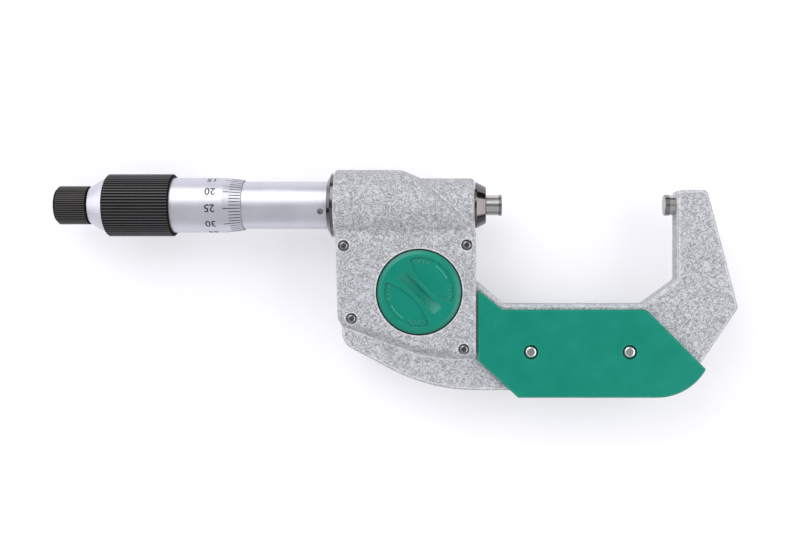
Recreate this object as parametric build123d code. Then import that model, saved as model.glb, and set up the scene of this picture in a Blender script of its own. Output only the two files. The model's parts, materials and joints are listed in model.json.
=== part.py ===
from build123d import *
import math
import os

# Digital outside micrometer, 25 to 50 mm, lying on its display side.
# Origin: centre of the anvil's measuring face. +X runs along the spindle towards the anvil,
# +Y is towards the top of the housing and +Z comes out of its back. Everything is in millimetres.

# Measuring gap and general fits
gap_at_rest = 50.0              # spindle face to anvil face, fully open
spindle_travel = 25.0
running_fit = 0.04              # radial play of a shaft in its bush
press_gap = 0.02                # radial play of a piece that is pressed or screwed in
seat_gap = 0.05                 # play between pieces that are screwed together face to face
free_gap = 0.3                  # room between pieces that move past each other
beyond = 1.0                    # how far a cutter reaches past the material that it cuts
overlap = 0.1                   # how far the blanks of one piece reach into each other

# Bow, the cast plate that carries the anvil
bow_thickness = 10.0
bow_chamfer = 0.6
bow_left = -98.8
bow_bottom = -56.5
bow_corner_y = -42.2
bow_belly_x = -71.8
bow_belly_radius = 56.0
bow_toe_x = 3.1
bow_toe_radius = 14.0
bow_heel_x = 9.9
bow_heel_y = -49.3
arm_outer_x = 22.0
arm_outer_y = -31.4
arm_inner_x = 3.45
arm_top_x = 12.6
arm_top_y = 4.6
arm_foot_y = -22.9
bow_corner_radius = 5.5
bow_heel_radius = 5.0
arm_outer_radius = 2.0
arm_top_radius = 1.8
throat_radius = 1.5
throat_floor_y = -30.4
throat_right_x = -6.8
throat_left_x = -49.6
throat_rise_y = -23.2
bow_under_block = 6.0           # how far the bow runs on inside the housing block

# Housing block with its ridge and boss
block_left_top = -100.8
block_left_foot = -99.9
block_foot_y = -34.5
block_corner_x = -98.6
block_corner_y = -37.2
block_belly_x = -72.0
block_bottom = -47.1
block_belly_radius = 45.0
block_right = -57.95
block_corner_radius = 1.6
block_foot_radius = 3.0
block_low_radius = 1.0
block_top_y = 3.0
block_back_z = 7.5
parting_z = -9.0
block_edge_radius = 0.7
block_step_width = 2.6
block_step_radius = 1.6
ridge_radius = 10.9
ridge_left = -101.15
ridge_setback = 1.5             # how far short of the block's right side the full ridge stops
ridge_edge_radius = 0.7
ridge_foot_radius = 1.8
boss_radius = 8.3
boss_edge_radius = 1.2
boss_end = -58.4
shoulder_x = -68.6              # where the shoulder's upper edge crosses the ridge's crown
shoulder_turn = 48.3            # direction of the shoulder's outward normal, seen from the back
shoulder_width = 2.0            # from the ridge down to the boss, measured along that normal
shoulder_edge_radius = 1.2
shoulder_slab_share = 0.5       # the block's flat face ends this far across the shoulder

# Hollow of the housing
cavity_wall = 5.2
cavity_top_y = -11.5
cavity_roof_z = 0.0
cavity_corner_radius = 3.0
rotor_bore_radius = 8.3
rotor_bore_wall = 1.5           # from the bore's end to where the boss comes out of the shoulder
wire_slot_length = 6.0
wire_slot_width = 3.0
wire_slot_depth = 2.0           # how far it opens into the rotor's bore
wire_slot_reach = 5.0           # how far it runs down beyond that bore

# Housing screws, driven in from the back
housing_screw_spots = ((-98.05, -12.45), (-60.75, -12.2), (-95.65, -34.5), (-61.65, -43.8))
housing_head_radius = 1.45
housing_head_height = 1.0
housing_head_recess_radius = 1.75
housing_head_sunk = 0.15
housing_screw_radius = 0.8
housing_screw_length = 19.0
cross_recess_depth = 0.6
cross_length = 1.2              # length of the cross in the screw heads, as a share of the head's radius
cross_width = 0.26              # width of its arms, as a share of their length
screw_dome = 0.8                # rounding of the screw heads, as a share of their height

# Front cover of moulded plastic, with window and buttons
cover_inset = 0.4
cover_height = 5.5
cover_seat_gap = 0.001          # the cover lies on the casting
cover_top_y = 5.5
cover_top_wall = 1.8
cover_shoulder_back = 1.4
cover_edge_radius = 1.2
window_length = 30.0
window_width = 13.5
window_thickness = 0.9
window_sunk = 0.2
window_ledge = 1.3
window_x = -79.2
window_y = -20.6
window_corner_radius = 1.0
button_length = 7.0
button_width = 4.2
button_corner_radius = 1.2
button_edge_radius = 0.4
button_pitch = 9.0
button_row_x = -77.2
button_y = -31.7
button_gap = 0.2
button_sunk = 0.3
button_travel = 0.6
button_flange = 0.7
button_flange_height = 0.8
button_stem_radius = 1.2
gasket_offset = 0.3
gasket_width = 0.7
gasket_depth = 0.6

# Electronics
board_gap = 0.4
board_thickness = 1.6
chip_side = 8.0
chip_height = 1.2
board_top_z = -3.0
board_post_radius = 1.7
board_post_inset = 1.6
board_screw_radius = 0.7
board_screw_head_radius = 1.3
board_screw_head_height = 0.8
board_screw_length = 4.0
board_screw_reach = 0.6         # how far the screw holes run into the roof over the posts
lcd_length = 28.6
lcd_width = 15.4
lcd_thickness = 1.5
lcd_step = 0.8                  # the rear glass is this much narrower
small_radius = 0.3              # corners of the boards' small parts
strip_width = 1.8
strip_length = 20.0
switch_side = 4.0
switch_height = 1.4
switch_plunger_radius = 1.0
switch_plunger_height = 0.4
switch_play = 0.1

# Battery bay, closed by a bayonet cap that a coin turns
bay_x = -75.15
bay_y = -26.45
bay_hole_radius = 13.15
bay_ledge_radius = 11.5
bay_ledge_height = 0.8
tray_thickness = 0.8
tray_rim_height = 0.9
tray_rim_width = 1.1
battery_radius = 10.0
battery_height = 3.2
battery_can_step = 0.9
battery_above_tray = 0.5
battery_foot_inset = 1.2        # the cell's lower half is this much smaller in radius
battery_edge_radius = 0.5
contact_half = 0.9              # half the length of the spring leaf under the cell
contact_leaf = 0.25
contact_width = 4.0
contact_side_play = 1.4
contact_knee_drop = 0.4
contact_play = 0.3
contact_slot_middle = 0.7       # from the cell's edge to the middle of the side contact's slot
contact_slot_length = 2.6
plus_leaf = 0.3
plus_width = 3.6
plus_height_share = 0.6         # the side contact reaches this far up the cell
collar_wall = 0.35
bayonet_ledge_radius = 11.9
bayonet_ledge_height = 0.8
bayonet_turn = 60.0
bayonet_lugs = 3
lug_angle = 34.0
lug_angle_play = 4.0
lug_height = 1.0
lug_play = 0.15
cap_radius = 12.7
cap_proud = 0.2
cap_thickness = 2.1
cap_bevel = 1.3
cap_bevel_drop = 0.5
cap_skirt_wall = 0.7
cap_skirt_depth = 2.8
cap_slot_length = 16.0
cap_slot_width = 3.0
cap_slot_depth = 1.4
cap_slot_angle = -45.0
cap_recess_radius = 10.7
cap_recess_depth = 0.5
cap_spine_half = 2.5
cap_bow_radius = 20.0
cap_recess_corner = 1.0
seal_height = 0.6

# Insulating grip plates on both sides of the bow
plate_thickness = 2.0
plate_lip_area = 3.0            # a strip of the lip smaller than this, in square millimetres, is left off
plate_chamfer = 0.4
plate_left = -57.4
plate_left_top = -25.75
plate_inner_x = -49.95
plate_top = -31.8
plate_right_x = -6.25
plate_right_y = -49.9
plate_heel_x = 11.75
plate_toe_x = 6.5
plate_toe_radius = 17.0
plate_bottom = -58.5
plate_bottom_x = -45.2
plate_left_foot = -47.2
plate_tip_radius = 0.4
plate_inner_radius = 0.8
plate_throat_radius = 2.5
plate_heel_radius = 0.6
plate_bottom_radius = 1.0
plate_foot_radius = 0.5
plate_screw_left = -41.3
plate_screw_right = -11.35
plate_screw_y = -44.7
plate_screw_head_radius = 1.9
plate_screw_head_height = 1.1
plate_screw_hole_radius = 2.25
plate_screw_seat = 1.3
plate_screw_radius = 1.0
plate_screw_length = 5.0

# Anvil
anvil_radius = 3.1
anvil_tip_radius = 3.25
anvil_tip_length = 1.5
anvil_end = 11.5
fine_edge = 0.15                # fine chamfer on ground steel edges

# Spindle, all lengths measured along X at rest
spindle_radius = 3.1
spindle_tip_radius = 3.25
spindle_tip_length = 1.0
spindle_thread_radius = 3.7
thread_start = -117.5
thread_end = -154.5
thread_lead_in = 0.5
neck_depth = 0.2                # the shank between thread and taper is this much smaller
groove_width = 1.6
groove_depth = 1.1
taper_start = -160.5
taper_end = -170.5
taper_small_radius = 3.3
spindle_screw_depth = 8.0

# Nose ring, front bush and seal
nose_radius = 7.1
nose_small_radius = 5.75
nose_band = 0.5
nose_length = 3.3
nose_gap = 0.2
nose_edge = 0.2
nose_spigot = 0.8               # the nose ring's rim that reaches into the boss
bush_radius = 5.0
bush_length = 9.6
bush_slit = 0.8
bush_slit_end = 1.5             # the bush is whole over this length at both ends
seal_length = 1.3
seal_radius = 4.4
seal_sunk = 0.6                 # how far the felt ring reaches back into the spigot

# Rotor of the rotary encoder
rotor_bush_start = -91.5
rotor_bush_setback = 1.3        # from the rotor bore's end back to the bush's end
rotor_bush_radius = 5.2
rotor_disc_radius = 7.8
rotor_disc_setback = 6.5        # from the bush's end back to the rotor disc
rotor_disc_thickness = 1.4
key_x = -90.0
key_length = 2.0
key_width = 1.4
key_sunk = 0.2
stator_gap = 0.5
stator_thickness = 1.4
stator_bore_radius = 5.6
bearing_length = 2.2
bearing_setback = 0.2

# Sleeves and nut
inner_sleeve_radius = 6.0
inner_sleeve_end = -134.0
inner_sleeve_flange_radius = 8.27
inner_sleeve_flange_front = -92.2
inner_sleeve_bore = 4.3
nut_zone_start = -118.0
nut_zone_end = -129.0
nut_seat_radius = 5.2
nut_seat_start = -128.0
nut_slit = 0.6
nut_slit_reach = 4.0            # how far the slits run on past the nut's seat
slit_bore_step = 0.25           # the bore is this much wider behind the nut's thread
nut_setback = 0.4
nut_flat = 1.2                  # width of the nut's two spanner slots
adjusting_nut_length = 4.4
outer_sleeve_radius = 7.3
outer_sleeve_end = -134.5
sleeve_front_gap = 0.2
sleeve_line_x = -104.0
sleeve_line_width = 0.25
sleeve_line_depth = 0.12
spanner_hole_radius = 0.95
spanner_hole_x = -105.15
spanner_hole_turn = 16.3        # from the crown towards -Y
barrel_ring_front_radius = 10.0
barrel_ring_rear_radius = 7.9
barrel_ring_rear = -103.35
barrel_ring_band = 0.9
barrel_ring_step = 0.5

# Thimble with its rubber grip
thimble_radius = 8.45
thimble_bore = 7.45
thimble_edge = -129.25
thimble_edge_radius = 7.75
thimble_mouth_radius = 7.6
thimble_mouth_depth = 0.8
thimble_bevel_start = -134.8
thimble_rear_radius = 8.8
cone_start = -171.0
cone_end = -176.5
cone_end_radius = 5.75
cone_edge = 0.2
hub_front = -160.5
ratchet_recess_radius = 5.1
ratchet_recess_depth = 2.9
grip_front = -150.8
grip_radius = 9.57
grip_rib_depth = 0.3
grip_rib_count = 64
grip_rib_share = 0.55           # part of each pitch that is rib
grip_chamfer = 0.35

# Ratchet stop
knob_radius = 5.9
knob_rib_depth = 0.22
knob_rib_count = 54
knob_rib_share = 0.55
rib_foot_share = 0.25           # how far the ribs' flanks lean into the grooves
rib_top_share = 0.75
knob_front = -176.75
knob_rear = -186.8
knob_rear_chamfer = 0.85
knob_front_chamfer = 0.3
knob_bore = 5.0
knob_wall_x = -183.0
knob_counterbore = 3.3
knob_counterbore_depth = 1.8
ratchet_shaft_radius = 1.5
ratchet_hole_radius = 1.75
ratchet_head_radius = 2.8
ratchet_head_length = 1.0
ratchet_slot_depth = 0.4
ratchet_slot_width = 0.7
ratchet_tooth_count = 12
ratchet_tooth_height = 0.5
ratchet_cut_share = 1.02        # each tooth's cut runs this much into the next
ratchet_cut_root = 0.02         # the cuts start at this share of the radius
ratchet_disc_thickness = 2.0
spring_wire_radius = 0.3
spring_turns = 3
spring_radius = 3.6
end_cap_setback = 0.1
end_cap_thickness = 0.4

# Spindle lock on the front of the boss
lock_setback = 4.1              # from the boss's end back to the lock's screw
lock_hub_radius = 3.2
lock_seat_z = -8.0
lock_hub_height = 2.4
lock_arm_length = 7.6
lock_arm_width = 3.0
lock_arm_height = 1.8
lock_arm_turn = 135.0           # where the arm points at rest, seen from the back
lock_screw_radius = 1.5
lock_shoe_length = 1.4
lock_hub_play = 0.5
lock_hub_edge = 0.6
lock_arm_taper = 1.25           # the arm's root is this much wider than its tip
lock_arm_rise = 0.3             # the arm stands this far back from the hub's outer face
lock_floor = 0.8                # thickness of the hub over its screw
lock_swing = 50.0               # how far the lever turns when it locks
lock_arm_play = 10.0            # room beside the arm at both ends, in degrees


def tube(x0, x1, outer, inner=0.0):
    """A cylinder along X from x0 to x1, bored through where an inner radius is given."""
    length = abs(x1 - x0)
    start = Pos(min(x0, x1), 0, 0) * Rot(0, 90, 0)
    body = start * Cylinder(outer, length, align=(Align.CENTER, Align.CENTER, Align.MIN))
    if inner > 0:
        body -= start * Cylinder(inner, length, align=(Align.CENTER, Align.CENTER, Align.MIN))
    return body


def turned(points):
    """A solid turned about X from an outline of (x, radius) points."""
    face = make_face(Polyline(*points, close=True))
    return revolve(face, axis=Axis.X)


def post(x, y, radius, z0, z1, inner=0.0):
    """An upright cylinder at (x, y) from z0 to z1."""
    height = abs(z1 - z0)
    place = Pos(x, y, min(z0, z1))
    body = place * Cylinder(radius, height, align=(Align.CENTER, Align.CENTER, Align.MIN))
    if inner > 0:
        body -= place * Cylinder(inner, height, align=(Align.CENTER, Align.CENTER, Align.MIN))
    return body


def slab(face, z0, z1):
    """A flat outline drawn on the XY plane, given thickness from z0 to z1."""
    return Pos(0, 0, min(z0, z1)) * extrude(face, abs(z1 - z0))


def outline(corners):
    """A flat outline from corners (x, y, radius); a radius of 0 keeps the corner sharp."""
    face = make_face(Polyline(*[(x, y) for x, y, radius in corners], close=True))
    for x, y, radius in corners:
        if radius > 0:
            corner = face.vertices().sort_by_distance((x, y, 0))[0]
            face = fillet(corner, radius)
    return face


def edges_at_z(part, z):
    """The edges that lie flat at height z."""
    near = 0.01
    return [
        edge for edge in part.edges()
        if abs(edge.bounding_box().min.Z - z) < near and abs(edge.bounding_box().max.Z - z) < near
    ]


def rounded_box(x, y, length, width, radius, z0, z1):
    """A slab with rounded corners, centred on (x, y)."""
    return Pos(x, y, 0) * slab(RectangleRounded(length, width, radius), z0, z1)


def ribbed_bar(x0, x1, outer, depth, count, share, front_chamfer, rear_chamfer):
    """A bar along X whose straight ribs all have one depth; x0 is the rear, x1 the front."""
    pitch = 2 * math.pi / count
    half = pitch * share / 2
    root = outer - depth
    points = []
    for number in range(count):
        middle = number * pitch
        for radius, turn in (
            (root, -pitch / 2 + (pitch / 2 - half) * rib_foot_share),
            (outer, -half * rib_top_share),
            (outer, half * rib_top_share),
            (root, pitch / 2 - (pitch / 2 - half) * rib_foot_share),
        ):
            points.append((radius * math.cos(middle + turn), radius * math.sin(middle + turn)))
    section = make_face(Polyline(*points, close=True))
    bar = Pos(x0, 0, 0) * Rot(0, 90, 0) * extrude(section, x1 - x0)
    envelope = turned((
        (x0, 0),
        (x0, outer - rear_chamfer),
        (x0 + rear_chamfer, outer),
        (x1 - front_chamfer, outer),
        (x1, outer - front_chamfer),
        (x1, 0),
    ))
    return bar & envelope


def bow_plan():
    """The bow seen from the back, running on under the housing block."""
    return outline((
        (bow_left, block_corner_y + bow_under_block / 3, 0),
        (bow_left, bow_corner_y, bow_corner_radius),
        (bow_belly_x, bow_bottom, bow_belly_radius),
        (bow_toe_x, bow_bottom, bow_toe_radius),
        (bow_heel_x, bow_heel_y, bow_heel_radius),
        (arm_outer_x, arm_outer_y, arm_outer_radius),
        (arm_top_x, arm_top_y, arm_top_radius),
        (arm_inner_x, arm_top_y, arm_top_radius),
        (arm_inner_x, arm_foot_y, throat_radius),
        (throat_right_x, throat_floor_y, throat_radius),
        (throat_left_x, throat_floor_y, throat_radius),
        (block_right, throat_rise_y, 0),
        (block_right - bow_under_block, throat_rise_y, 0),
    ))


def belly_slope():
    """Slope of the block's lower left edge, in Y for each X."""
    return (block_corner_y - block_bottom) / (block_corner_x - block_belly_x)


def block_plan(top_y, inset=0.0):
    """The housing block seen from the back up to top_y, drawn in by an inset."""
    return outline((
        (block_left_top + inset, top_y, 0),
        (block_left_foot + inset, block_foot_y + inset / 2, block_foot_radius),
        (block_corner_x + inset, block_corner_y + inset, block_low_radius),
        (block_belly_x, block_bottom + inset, block_belly_radius - inset),
        (block_right - inset, block_bottom + inset, block_corner_radius),
        (block_right - inset, top_y, 0),
    ))


def cavity_plan(grow=0.0):
    """The hollow of the housing, a constant wall inside the block; it can be drawn larger."""
    wall = cavity_wall - grow
    slope = belly_slope()
    left = block_left_foot + wall
    bottom = block_bottom + wall
    lift = wall * math.sqrt(1 + slope ** 2)
    left_y = block_corner_y + slope * (left - block_corner_x) + lift
    belly_x = block_corner_x + (bottom - block_corner_y - lift) / slope
    corner = cavity_corner_radius + grow
    return outline((
        (left, cavity_top_y + grow, corner),
        (left, left_y, corner),
        (belly_x, bottom, block_belly_radius / 3),
        (block_right - wall, bottom, corner),
        (block_right - wall, cavity_top_y + grow, corner),
    ))


def shoulder_plane(forward=0.0):
    """An upright plane parallel to the shoulder, set forward from its upper edge."""
    turn = math.radians(shoulder_turn)
    return Plane(
        origin=(shoulder_x + forward / math.cos(turn), 0, 0),
        x_dir=(0, 0, 1),
        z_dir=(math.cos(turn), math.sin(turn), 0),
    )


def beyond_shoulder(forward=0.0):
    """Everything in front of a plane parallel to the shoulder."""
    reach = 90
    return shoulder_plane(forward) * Box(reach, reach, reach, align=(Align.CENTER, Align.CENTER, Align.MIN))


def shoulder_profile():
    """Sections of the shoulder, (forward, radius) pairs from the rounded upper edge down to the boss."""
    small = boss_radius - seat_gap
    slant = math.atan2(ridge_radius - small, shoulder_width)
    setback = shoulder_edge_radius * math.tan(slant / 2)
    steps = 4
    points = []
    for step in range(steps + 1):
        angle = slant * step / steps
        drop = shoulder_edge_radius * (1 - math.cos(angle))
        points.append((shoulder_edge_radius * math.sin(angle) - setback, ridge_radius - drop))
    return points + [(shoulder_width, small)]


def shoulder_slope():
    """The slanting band of the shoulder, an oblique cone from the ridge down to the boss."""
    stretch = 1 / math.cos(math.radians(shoulder_turn))
    sections = [
        shoulder_plane(forward) * Ellipse(radius, radius * stretch)
        for forward, radius in shoulder_profile()
    ]
    return loft(sections, ruled=True)


def boss_start():
    """Where the boss comes out of the shoulder, at the top of the housing."""
    turn = math.radians(shoulder_turn)
    return shoulder_x + shoulder_width / math.cos(turn) - boss_radius * math.tan(turn)


def soft_step():
    """An envelope wider than the block whose lower back edge has the soft slope of the step."""
    reach = 10
    slope = belly_slope()
    face = outline((
        (block_left_top - reach, block_top_y + reach, 0),
        (block_left_top - reach, block_corner_y + slope * (block_left_top - reach - block_corner_x), 0),
        (block_belly_x, block_bottom, block_belly_radius),
        (block_right + reach, block_bottom, 0),
        (block_right + reach, block_top_y + reach, 0),
    ))
    body = slab(face, parting_z - 1, block_back_z)
    for soften, size in ((chamfer, block_step_width), (fillet, block_step_radius)):
        foot = [edge for edge in edges_at_z(body, block_back_z) if edge.center().Y < block_corner_y]
        body = soften(foot, size)
    return body


def soft_slab(slab_end):
    """The flat part of the block up to a plane slab_end forward of the shoulder, its back rim rounded."""
    block = slab(block_plan(block_top_y), parting_z, block_back_z) - beyond_shoulder(slab_end)
    rim = [edge for edge in edges_at_z(block, block_back_z) if edge.center().Y < block_top_y - 1]
    return fillet(rim, block_edge_radius) & soft_step()


def make_block():
    """The housing block with the ridge over the spindle and its shoulder, before it is hollowed."""
    far = 4 * ridge_radius
    ridge = tube(ridge_left, block_right - ridge_setback, ridge_radius)
    ridge = fillet(ridge.edges().filter_by(GeomType.CIRCLE).sort_by(Axis.X)[0], ridge_edge_radius)
    body = soft_slab(far) + ridge
    foot_y = -math.sqrt(ridge_radius ** 2 - block_back_z ** 2)
    foot = [
        edge for edge in edges_at_z(body, block_back_z)
        if abs(edge.center().Y - foot_y) < 0.05 and edge.length > 10
    ]
    body = fillet(foot, ridge_foot_radius) - beyond_shoulder(shoulder_profile()[0][0])
    slope = shoulder_slope() - tube(boss_end, boss_end + far, far)
    return body + slope + soft_slab(shoulder_width * shoulder_slab_share)


def make_frame():
    """The casting: bow, arm, housing block, ridge and boss, with its bores and hollows."""
    bow = slab(bow_plan(), -bow_thickness / 2, bow_thickness / 2)
    rim = edges_at_z(bow, bow_thickness / 2) + edges_at_z(bow, -bow_thickness / 2)
    bow = chamfer(rim, bow_chamfer)
    boss = tube(rotor_bore_end() - bush_radius, boss_end, boss_radius)
    boss = fillet(boss.edges().filter_by(GeomType.CIRCLE).sort_by(Axis.X)[-1], boss_edge_radius)
    body = bow + make_block() + boss
    ridge_room = tube(ridge_left - beyond, boss_end, ridge_radius)
    body -= slab(cavity_plan(), parting_z - cover_height, cavity_roof_z) - ridge_room
    for x, y in board_spots():
        body += post(x, y, board_post_radius, board_top_z, cavity_roof_z + overlap)
        body -= post(x, y, board_screw_radius + press_gap, board_top_z - beyond,
                     cavity_roof_z + board_screw_reach)
    body -= tube(ridge_left - beyond, rotor_bore_end(), rotor_bore_radius)
    body -= tube(rotor_bore_end() - beyond, boss_end + beyond, bush_radius + press_gap)
    body -= bay_cut()
    body -= wire_slot()
    for x, y in housing_screw_spots:
        seat = block_back_z - housing_head_sunk - housing_head_height
        body -= post(x, y, housing_head_recess_radius, seat, block_back_z + beyond)
        body -= post(x, y, housing_screw_radius + seat_gap, parting_z - beyond, seat)
    for x in (plate_screw_left, plate_screw_right):
        for side in (1, -1):
            mouth = side * bow_thickness / 2
            depth = plate_screw_length - (plate_thickness - plate_screw_seat) + free_gap
            body -= post(x, plate_screw_y, plate_screw_radius + press_gap, mouth - side * depth, mouth)
    body -= tube(arm_inner_x - beyond, anvil_end + press_gap, anvil_radius + press_gap)
    body -= lock_room()
    body -= post(lock_x(), 0, lock_screw_radius + running_fit, -ridge_radius - beyond,
                 -bush_radius + beyond)
    return body


def lock_room():
    """The flat seat of the lock lever's hub, and the room in which its arm swings."""
    deep = -ridge_radius - beyond
    reach = lock_arm_length + lock_arm_width / 2 + free_gap
    middle = lock_arm_turn - lock_swing / 2
    room = post(lock_x(), 0, lock_hub_radius + lock_hub_play, lock_seat_z, deep)
    return room + sector(lock_x(), 0, reach, middle, lock_swing + 2 * lock_arm_play,
                         -boss_radius - seat_gap, deep)


def lock_x():
    """X position of the lock's screw."""
    return boss_end - lock_setback


def rotor_bore_end():
    """Front end of the wide bore in which the rotor turns."""
    return boss_start() - rotor_bore_wall


def rotor_bush_end():
    """Front end of the rotor's bush."""
    return rotor_bore_end() - rotor_bush_setback


def rotor_disc_x():
    """Rear face of the rotor's disc."""
    return rotor_bush_end() - rotor_disc_setback


def bay_cut():
    """The round battery hole with its ledge."""
    cut = post(bay_x, bay_y, bay_hole_radius + press_gap, cavity_roof_z + bay_ledge_height,
               block_back_z + beyond)
    cut += post(bay_x, bay_y, bay_ledge_radius, cavity_roof_z - beyond,
                cavity_roof_z + bay_ledge_height + overlap)
    return cut


def wire_slot():
    """The passage for the stator's leads, from the rotor bore down into the housing's hollow."""
    middle = stator_start()
    return Pos(middle, wire_slot_depth - rotor_bore_radius, (parting_z - beyond) / 2) * Box(
        wire_slot_length, wire_slot_depth + wire_slot_reach, wire_slot_width,
        align=(Align.CENTER, Align.MAX, Align.CENTER),
    )


def board_spots():
    """The three places where the main board is screwed to the casting."""
    box = cavity_plan().bounding_box()
    inset = board_post_radius + board_post_inset
    return (
        (box.min.X + inset, box.max.Y - inset),
        (box.max.X - inset, box.max.Y - inset),
        (box.max.X - inset, box.min.Y + inset),
    )


def pan_screw(x, y, seat_z, side, head_radius, head_height, shank_radius, length):
    """A cross-recess screw whose head sits on seat_z; side 1 shows its head to the back."""
    head = post(x, y, head_radius, seat_z, seat_z + side * head_height)
    top = seat_z + side * head_height
    rim = edges_at_z(head, top)
    head = fillet(rim, head_height * screw_dome)
    shank = post(x, y, shank_radius, seat_z + side * overlap, seat_z - side * length)
    body = head + shank
    arm = head_radius * cross_length
    for turn in (0, 90):
        body -= Pos(x, y, top) * Rot(0, 0, turn) * Box(arm, arm * cross_width, cross_recess_depth * 2)
    return body


def make_housing_screws():
    """Four screws that draw the front cover against the casting."""
    seat = block_back_z - housing_head_sunk - housing_head_height
    return [
        pan_screw(x, y, seat, 1, housing_head_radius, housing_head_height, housing_screw_radius,
                  housing_screw_length)
        for x, y in housing_screw_spots
    ]


def make_plate_screws():
    """Two screws in each grip plate."""
    screws = []
    for side in (1, -1):
        seat = side * (bow_thickness / 2 + seat_gap + plate_thickness - plate_screw_seat)
        for x in (plate_screw_left, plate_screw_right):
            screws.append(pan_screw(x, plate_screw_y, seat, side, plate_screw_head_radius,
                                    plate_screw_head_height, plate_screw_radius, plate_screw_length))
    return screws


def make_board_screws():
    """Three small screws that hold the main board on its posts."""
    seat = board_top_z - board_thickness
    return [
        pan_screw(x, y, seat, -1, board_screw_head_radius, board_screw_head_height, board_screw_radius,
                  board_screw_length)
        for x, y in board_spots()
    ]


def plate_plan():
    """A grip plate seen from the back."""
    return outline((
        (plate_left, plate_left_top, plate_tip_radius),
        (plate_inner_x, plate_top, plate_inner_radius),
        (plate_right_x, plate_top, plate_throat_radius),
        (plate_heel_x, plate_right_y, plate_heel_radius),
        (plate_toe_x, plate_bottom, plate_toe_radius),
        (plate_bottom_x, plate_bottom, plate_bottom_radius),
        (plate_left, plate_left_foot, plate_foot_radius),
    ))


def make_grip_plate(side):
    """One insulating plate, with the lip that wraps the bow's lower edge up to its middle plane."""
    face_z = bow_thickness / 2 + seat_gap
    body = slab(plate_plan(), side * face_z, side * (face_z + plate_thickness))
    body = chamfer(edges_at_z(body, side * (face_z + plate_thickness)), plate_chamfer)
    lip = plate_plan() - offset(bow_plan(), seat_gap)
    reach = bow_thickness * 20
    lip -= Pos(plate_inner_x, plate_top, 0) * Rectangle(reach, reach, align=(Align.CENTER, Align.MIN))
    pieces = [face for face in lip.faces() if face.area > plate_lip_area]
    for face in pieces:
        body += slab(face, side * seat_gap, side * (face_z + overlap))
    for x in (plate_screw_left, plate_screw_right):
        seat = side * (face_z + plate_thickness - plate_screw_seat)
        body -= post(x, plate_screw_y, plate_screw_hole_radius, seat,
                     side * (face_z + plate_thickness + beyond))
        body -= post(x, plate_screw_y, plate_screw_radius + seat_gap, 0, seat)
    return body


def cover_plan():
    """The front cover seen from the back, before the shoulder is cut."""
    return block_plan(cover_top_y, cover_inset)


def make_front_cover():
    """The moulded front cover, nested over the ridge."""
    face_z = parting_z - cover_height
    body = slab(cover_plan(), parting_z - cover_seat_gap, face_z)
    body = fillet(edges_at_z(body, face_z), cover_edge_radius)
    body -= tube(ridge_left - beyond, 0, ridge_radius + seat_gap)
    body -= beyond_shoulder(-cover_shoulder_back)
    body -= slab(cavity_plan(), parting_z + beyond, face_z + cover_top_wall)
    for x, y in board_spots():
        body -= post(x, y, board_screw_head_radius + free_gap, parting_z + beyond,
                     face_z + cover_top_wall)
    for x, y in housing_screw_spots:
        body -= post(x, y, housing_screw_radius + press_gap, parting_z + beyond,
                     screw_tip_z() - free_gap)
    ledge_z = face_z + window_sunk + window_thickness + seat_gap
    play = 2 * seat_gap
    body -= rounded_box(window_x, window_y, window_length + play, window_width + play,
                        window_corner_radius + seat_gap, face_z - beyond, ledge_z)
    body -= rounded_box(window_x, window_y, window_length - 2 * window_ledge, window_width - 2 * window_ledge,
                        window_corner_radius, face_z - beyond, parting_z)
    for x in button_places():
        body -= rounded_box(x, button_y, button_length + 2 * button_gap, button_width + 2 * button_gap,
                            button_corner_radius + button_gap, face_z - beyond, parting_z)
    return body


def screw_tip_z():
    """Height of the housing screws' tips."""
    return block_back_z - housing_head_sunk - housing_head_height - housing_screw_length


def make_lcd_window():
    """The clear window, sunk a little below the cover's face."""
    outer = parting_z - cover_height + window_sunk
    return rounded_box(window_x, window_y, window_length, window_width, window_corner_radius,
                       outer, outer + window_thickness)


def lcd_front_z():
    """Height of the display glass's face, which lies against the inside of the cover."""
    return parting_z - cover_height + cover_top_wall + seat_gap


def make_lcd_panel():
    """The display's glass sandwich: front glass, with the rear glass a little shorter."""
    front = lcd_front_z()
    half = lcd_thickness / 2
    body = rounded_box(window_x, window_y, lcd_length, lcd_width, small_radius, front, front + half)
    body += rounded_box(window_x, window_y - lcd_step / 2, lcd_length, lcd_width - lcd_step, small_radius,
                        front + half - overlap, front + lcd_thickness)
    return body


def make_lcd_connectors():
    """Two rubber contact strips between the display glass and the main board."""
    low = lcd_front_z() + lcd_thickness + press_gap
    high = board_top_z - board_thickness - press_gap
    reach = lcd_width / 2 - strip_width
    return [
        rounded_box(window_x, window_y + side * reach, strip_length, strip_width, small_radius, low, high)
        for side in (1, -1)
    ]


def button_places():
    """The X positions of the three buttons."""
    return [button_row_x + number * button_pitch for number in (-1, 0, 1)]


def make_button(x):
    """One push button: cap, flange behind the cover, and stem that reaches to its switch."""
    outer = parting_z - cover_height + button_sunk
    flange_z = parting_z - cover_height + cover_top_wall + seat_gap
    body = rounded_box(x, button_y, button_length, button_width, button_corner_radius, outer,
                       flange_z + overlap)
    body = fillet(edges_at_z(body, outer), button_edge_radius)
    body += rounded_box(x, button_y, button_length + 2 * button_flange, button_width + 2 * button_flange,
                        button_corner_radius, flange_z, flange_z + button_flange_height)
    stem_end = switch_tip_z() - switch_play - button_travel
    body += post(x, button_y, button_stem_radius, flange_z + overlap, stem_end)
    return body


def switch_tip_z():
    """Height of the tact switches' plungers."""
    return board_top_z - board_thickness - switch_height - switch_plunger_height


def make_tact_switches():
    """Three tact switches on the main board, one under each button."""
    high = board_top_z - board_thickness - press_gap
    switches = []
    for x in button_places():
        body = rounded_box(x, button_y, switch_side, switch_side, small_radius, high, high - switch_height)
        body += post(x, button_y, switch_plunger_radius, high - switch_height + overlap, switch_tip_z())
        switches.append(body)
    return switches


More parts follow.
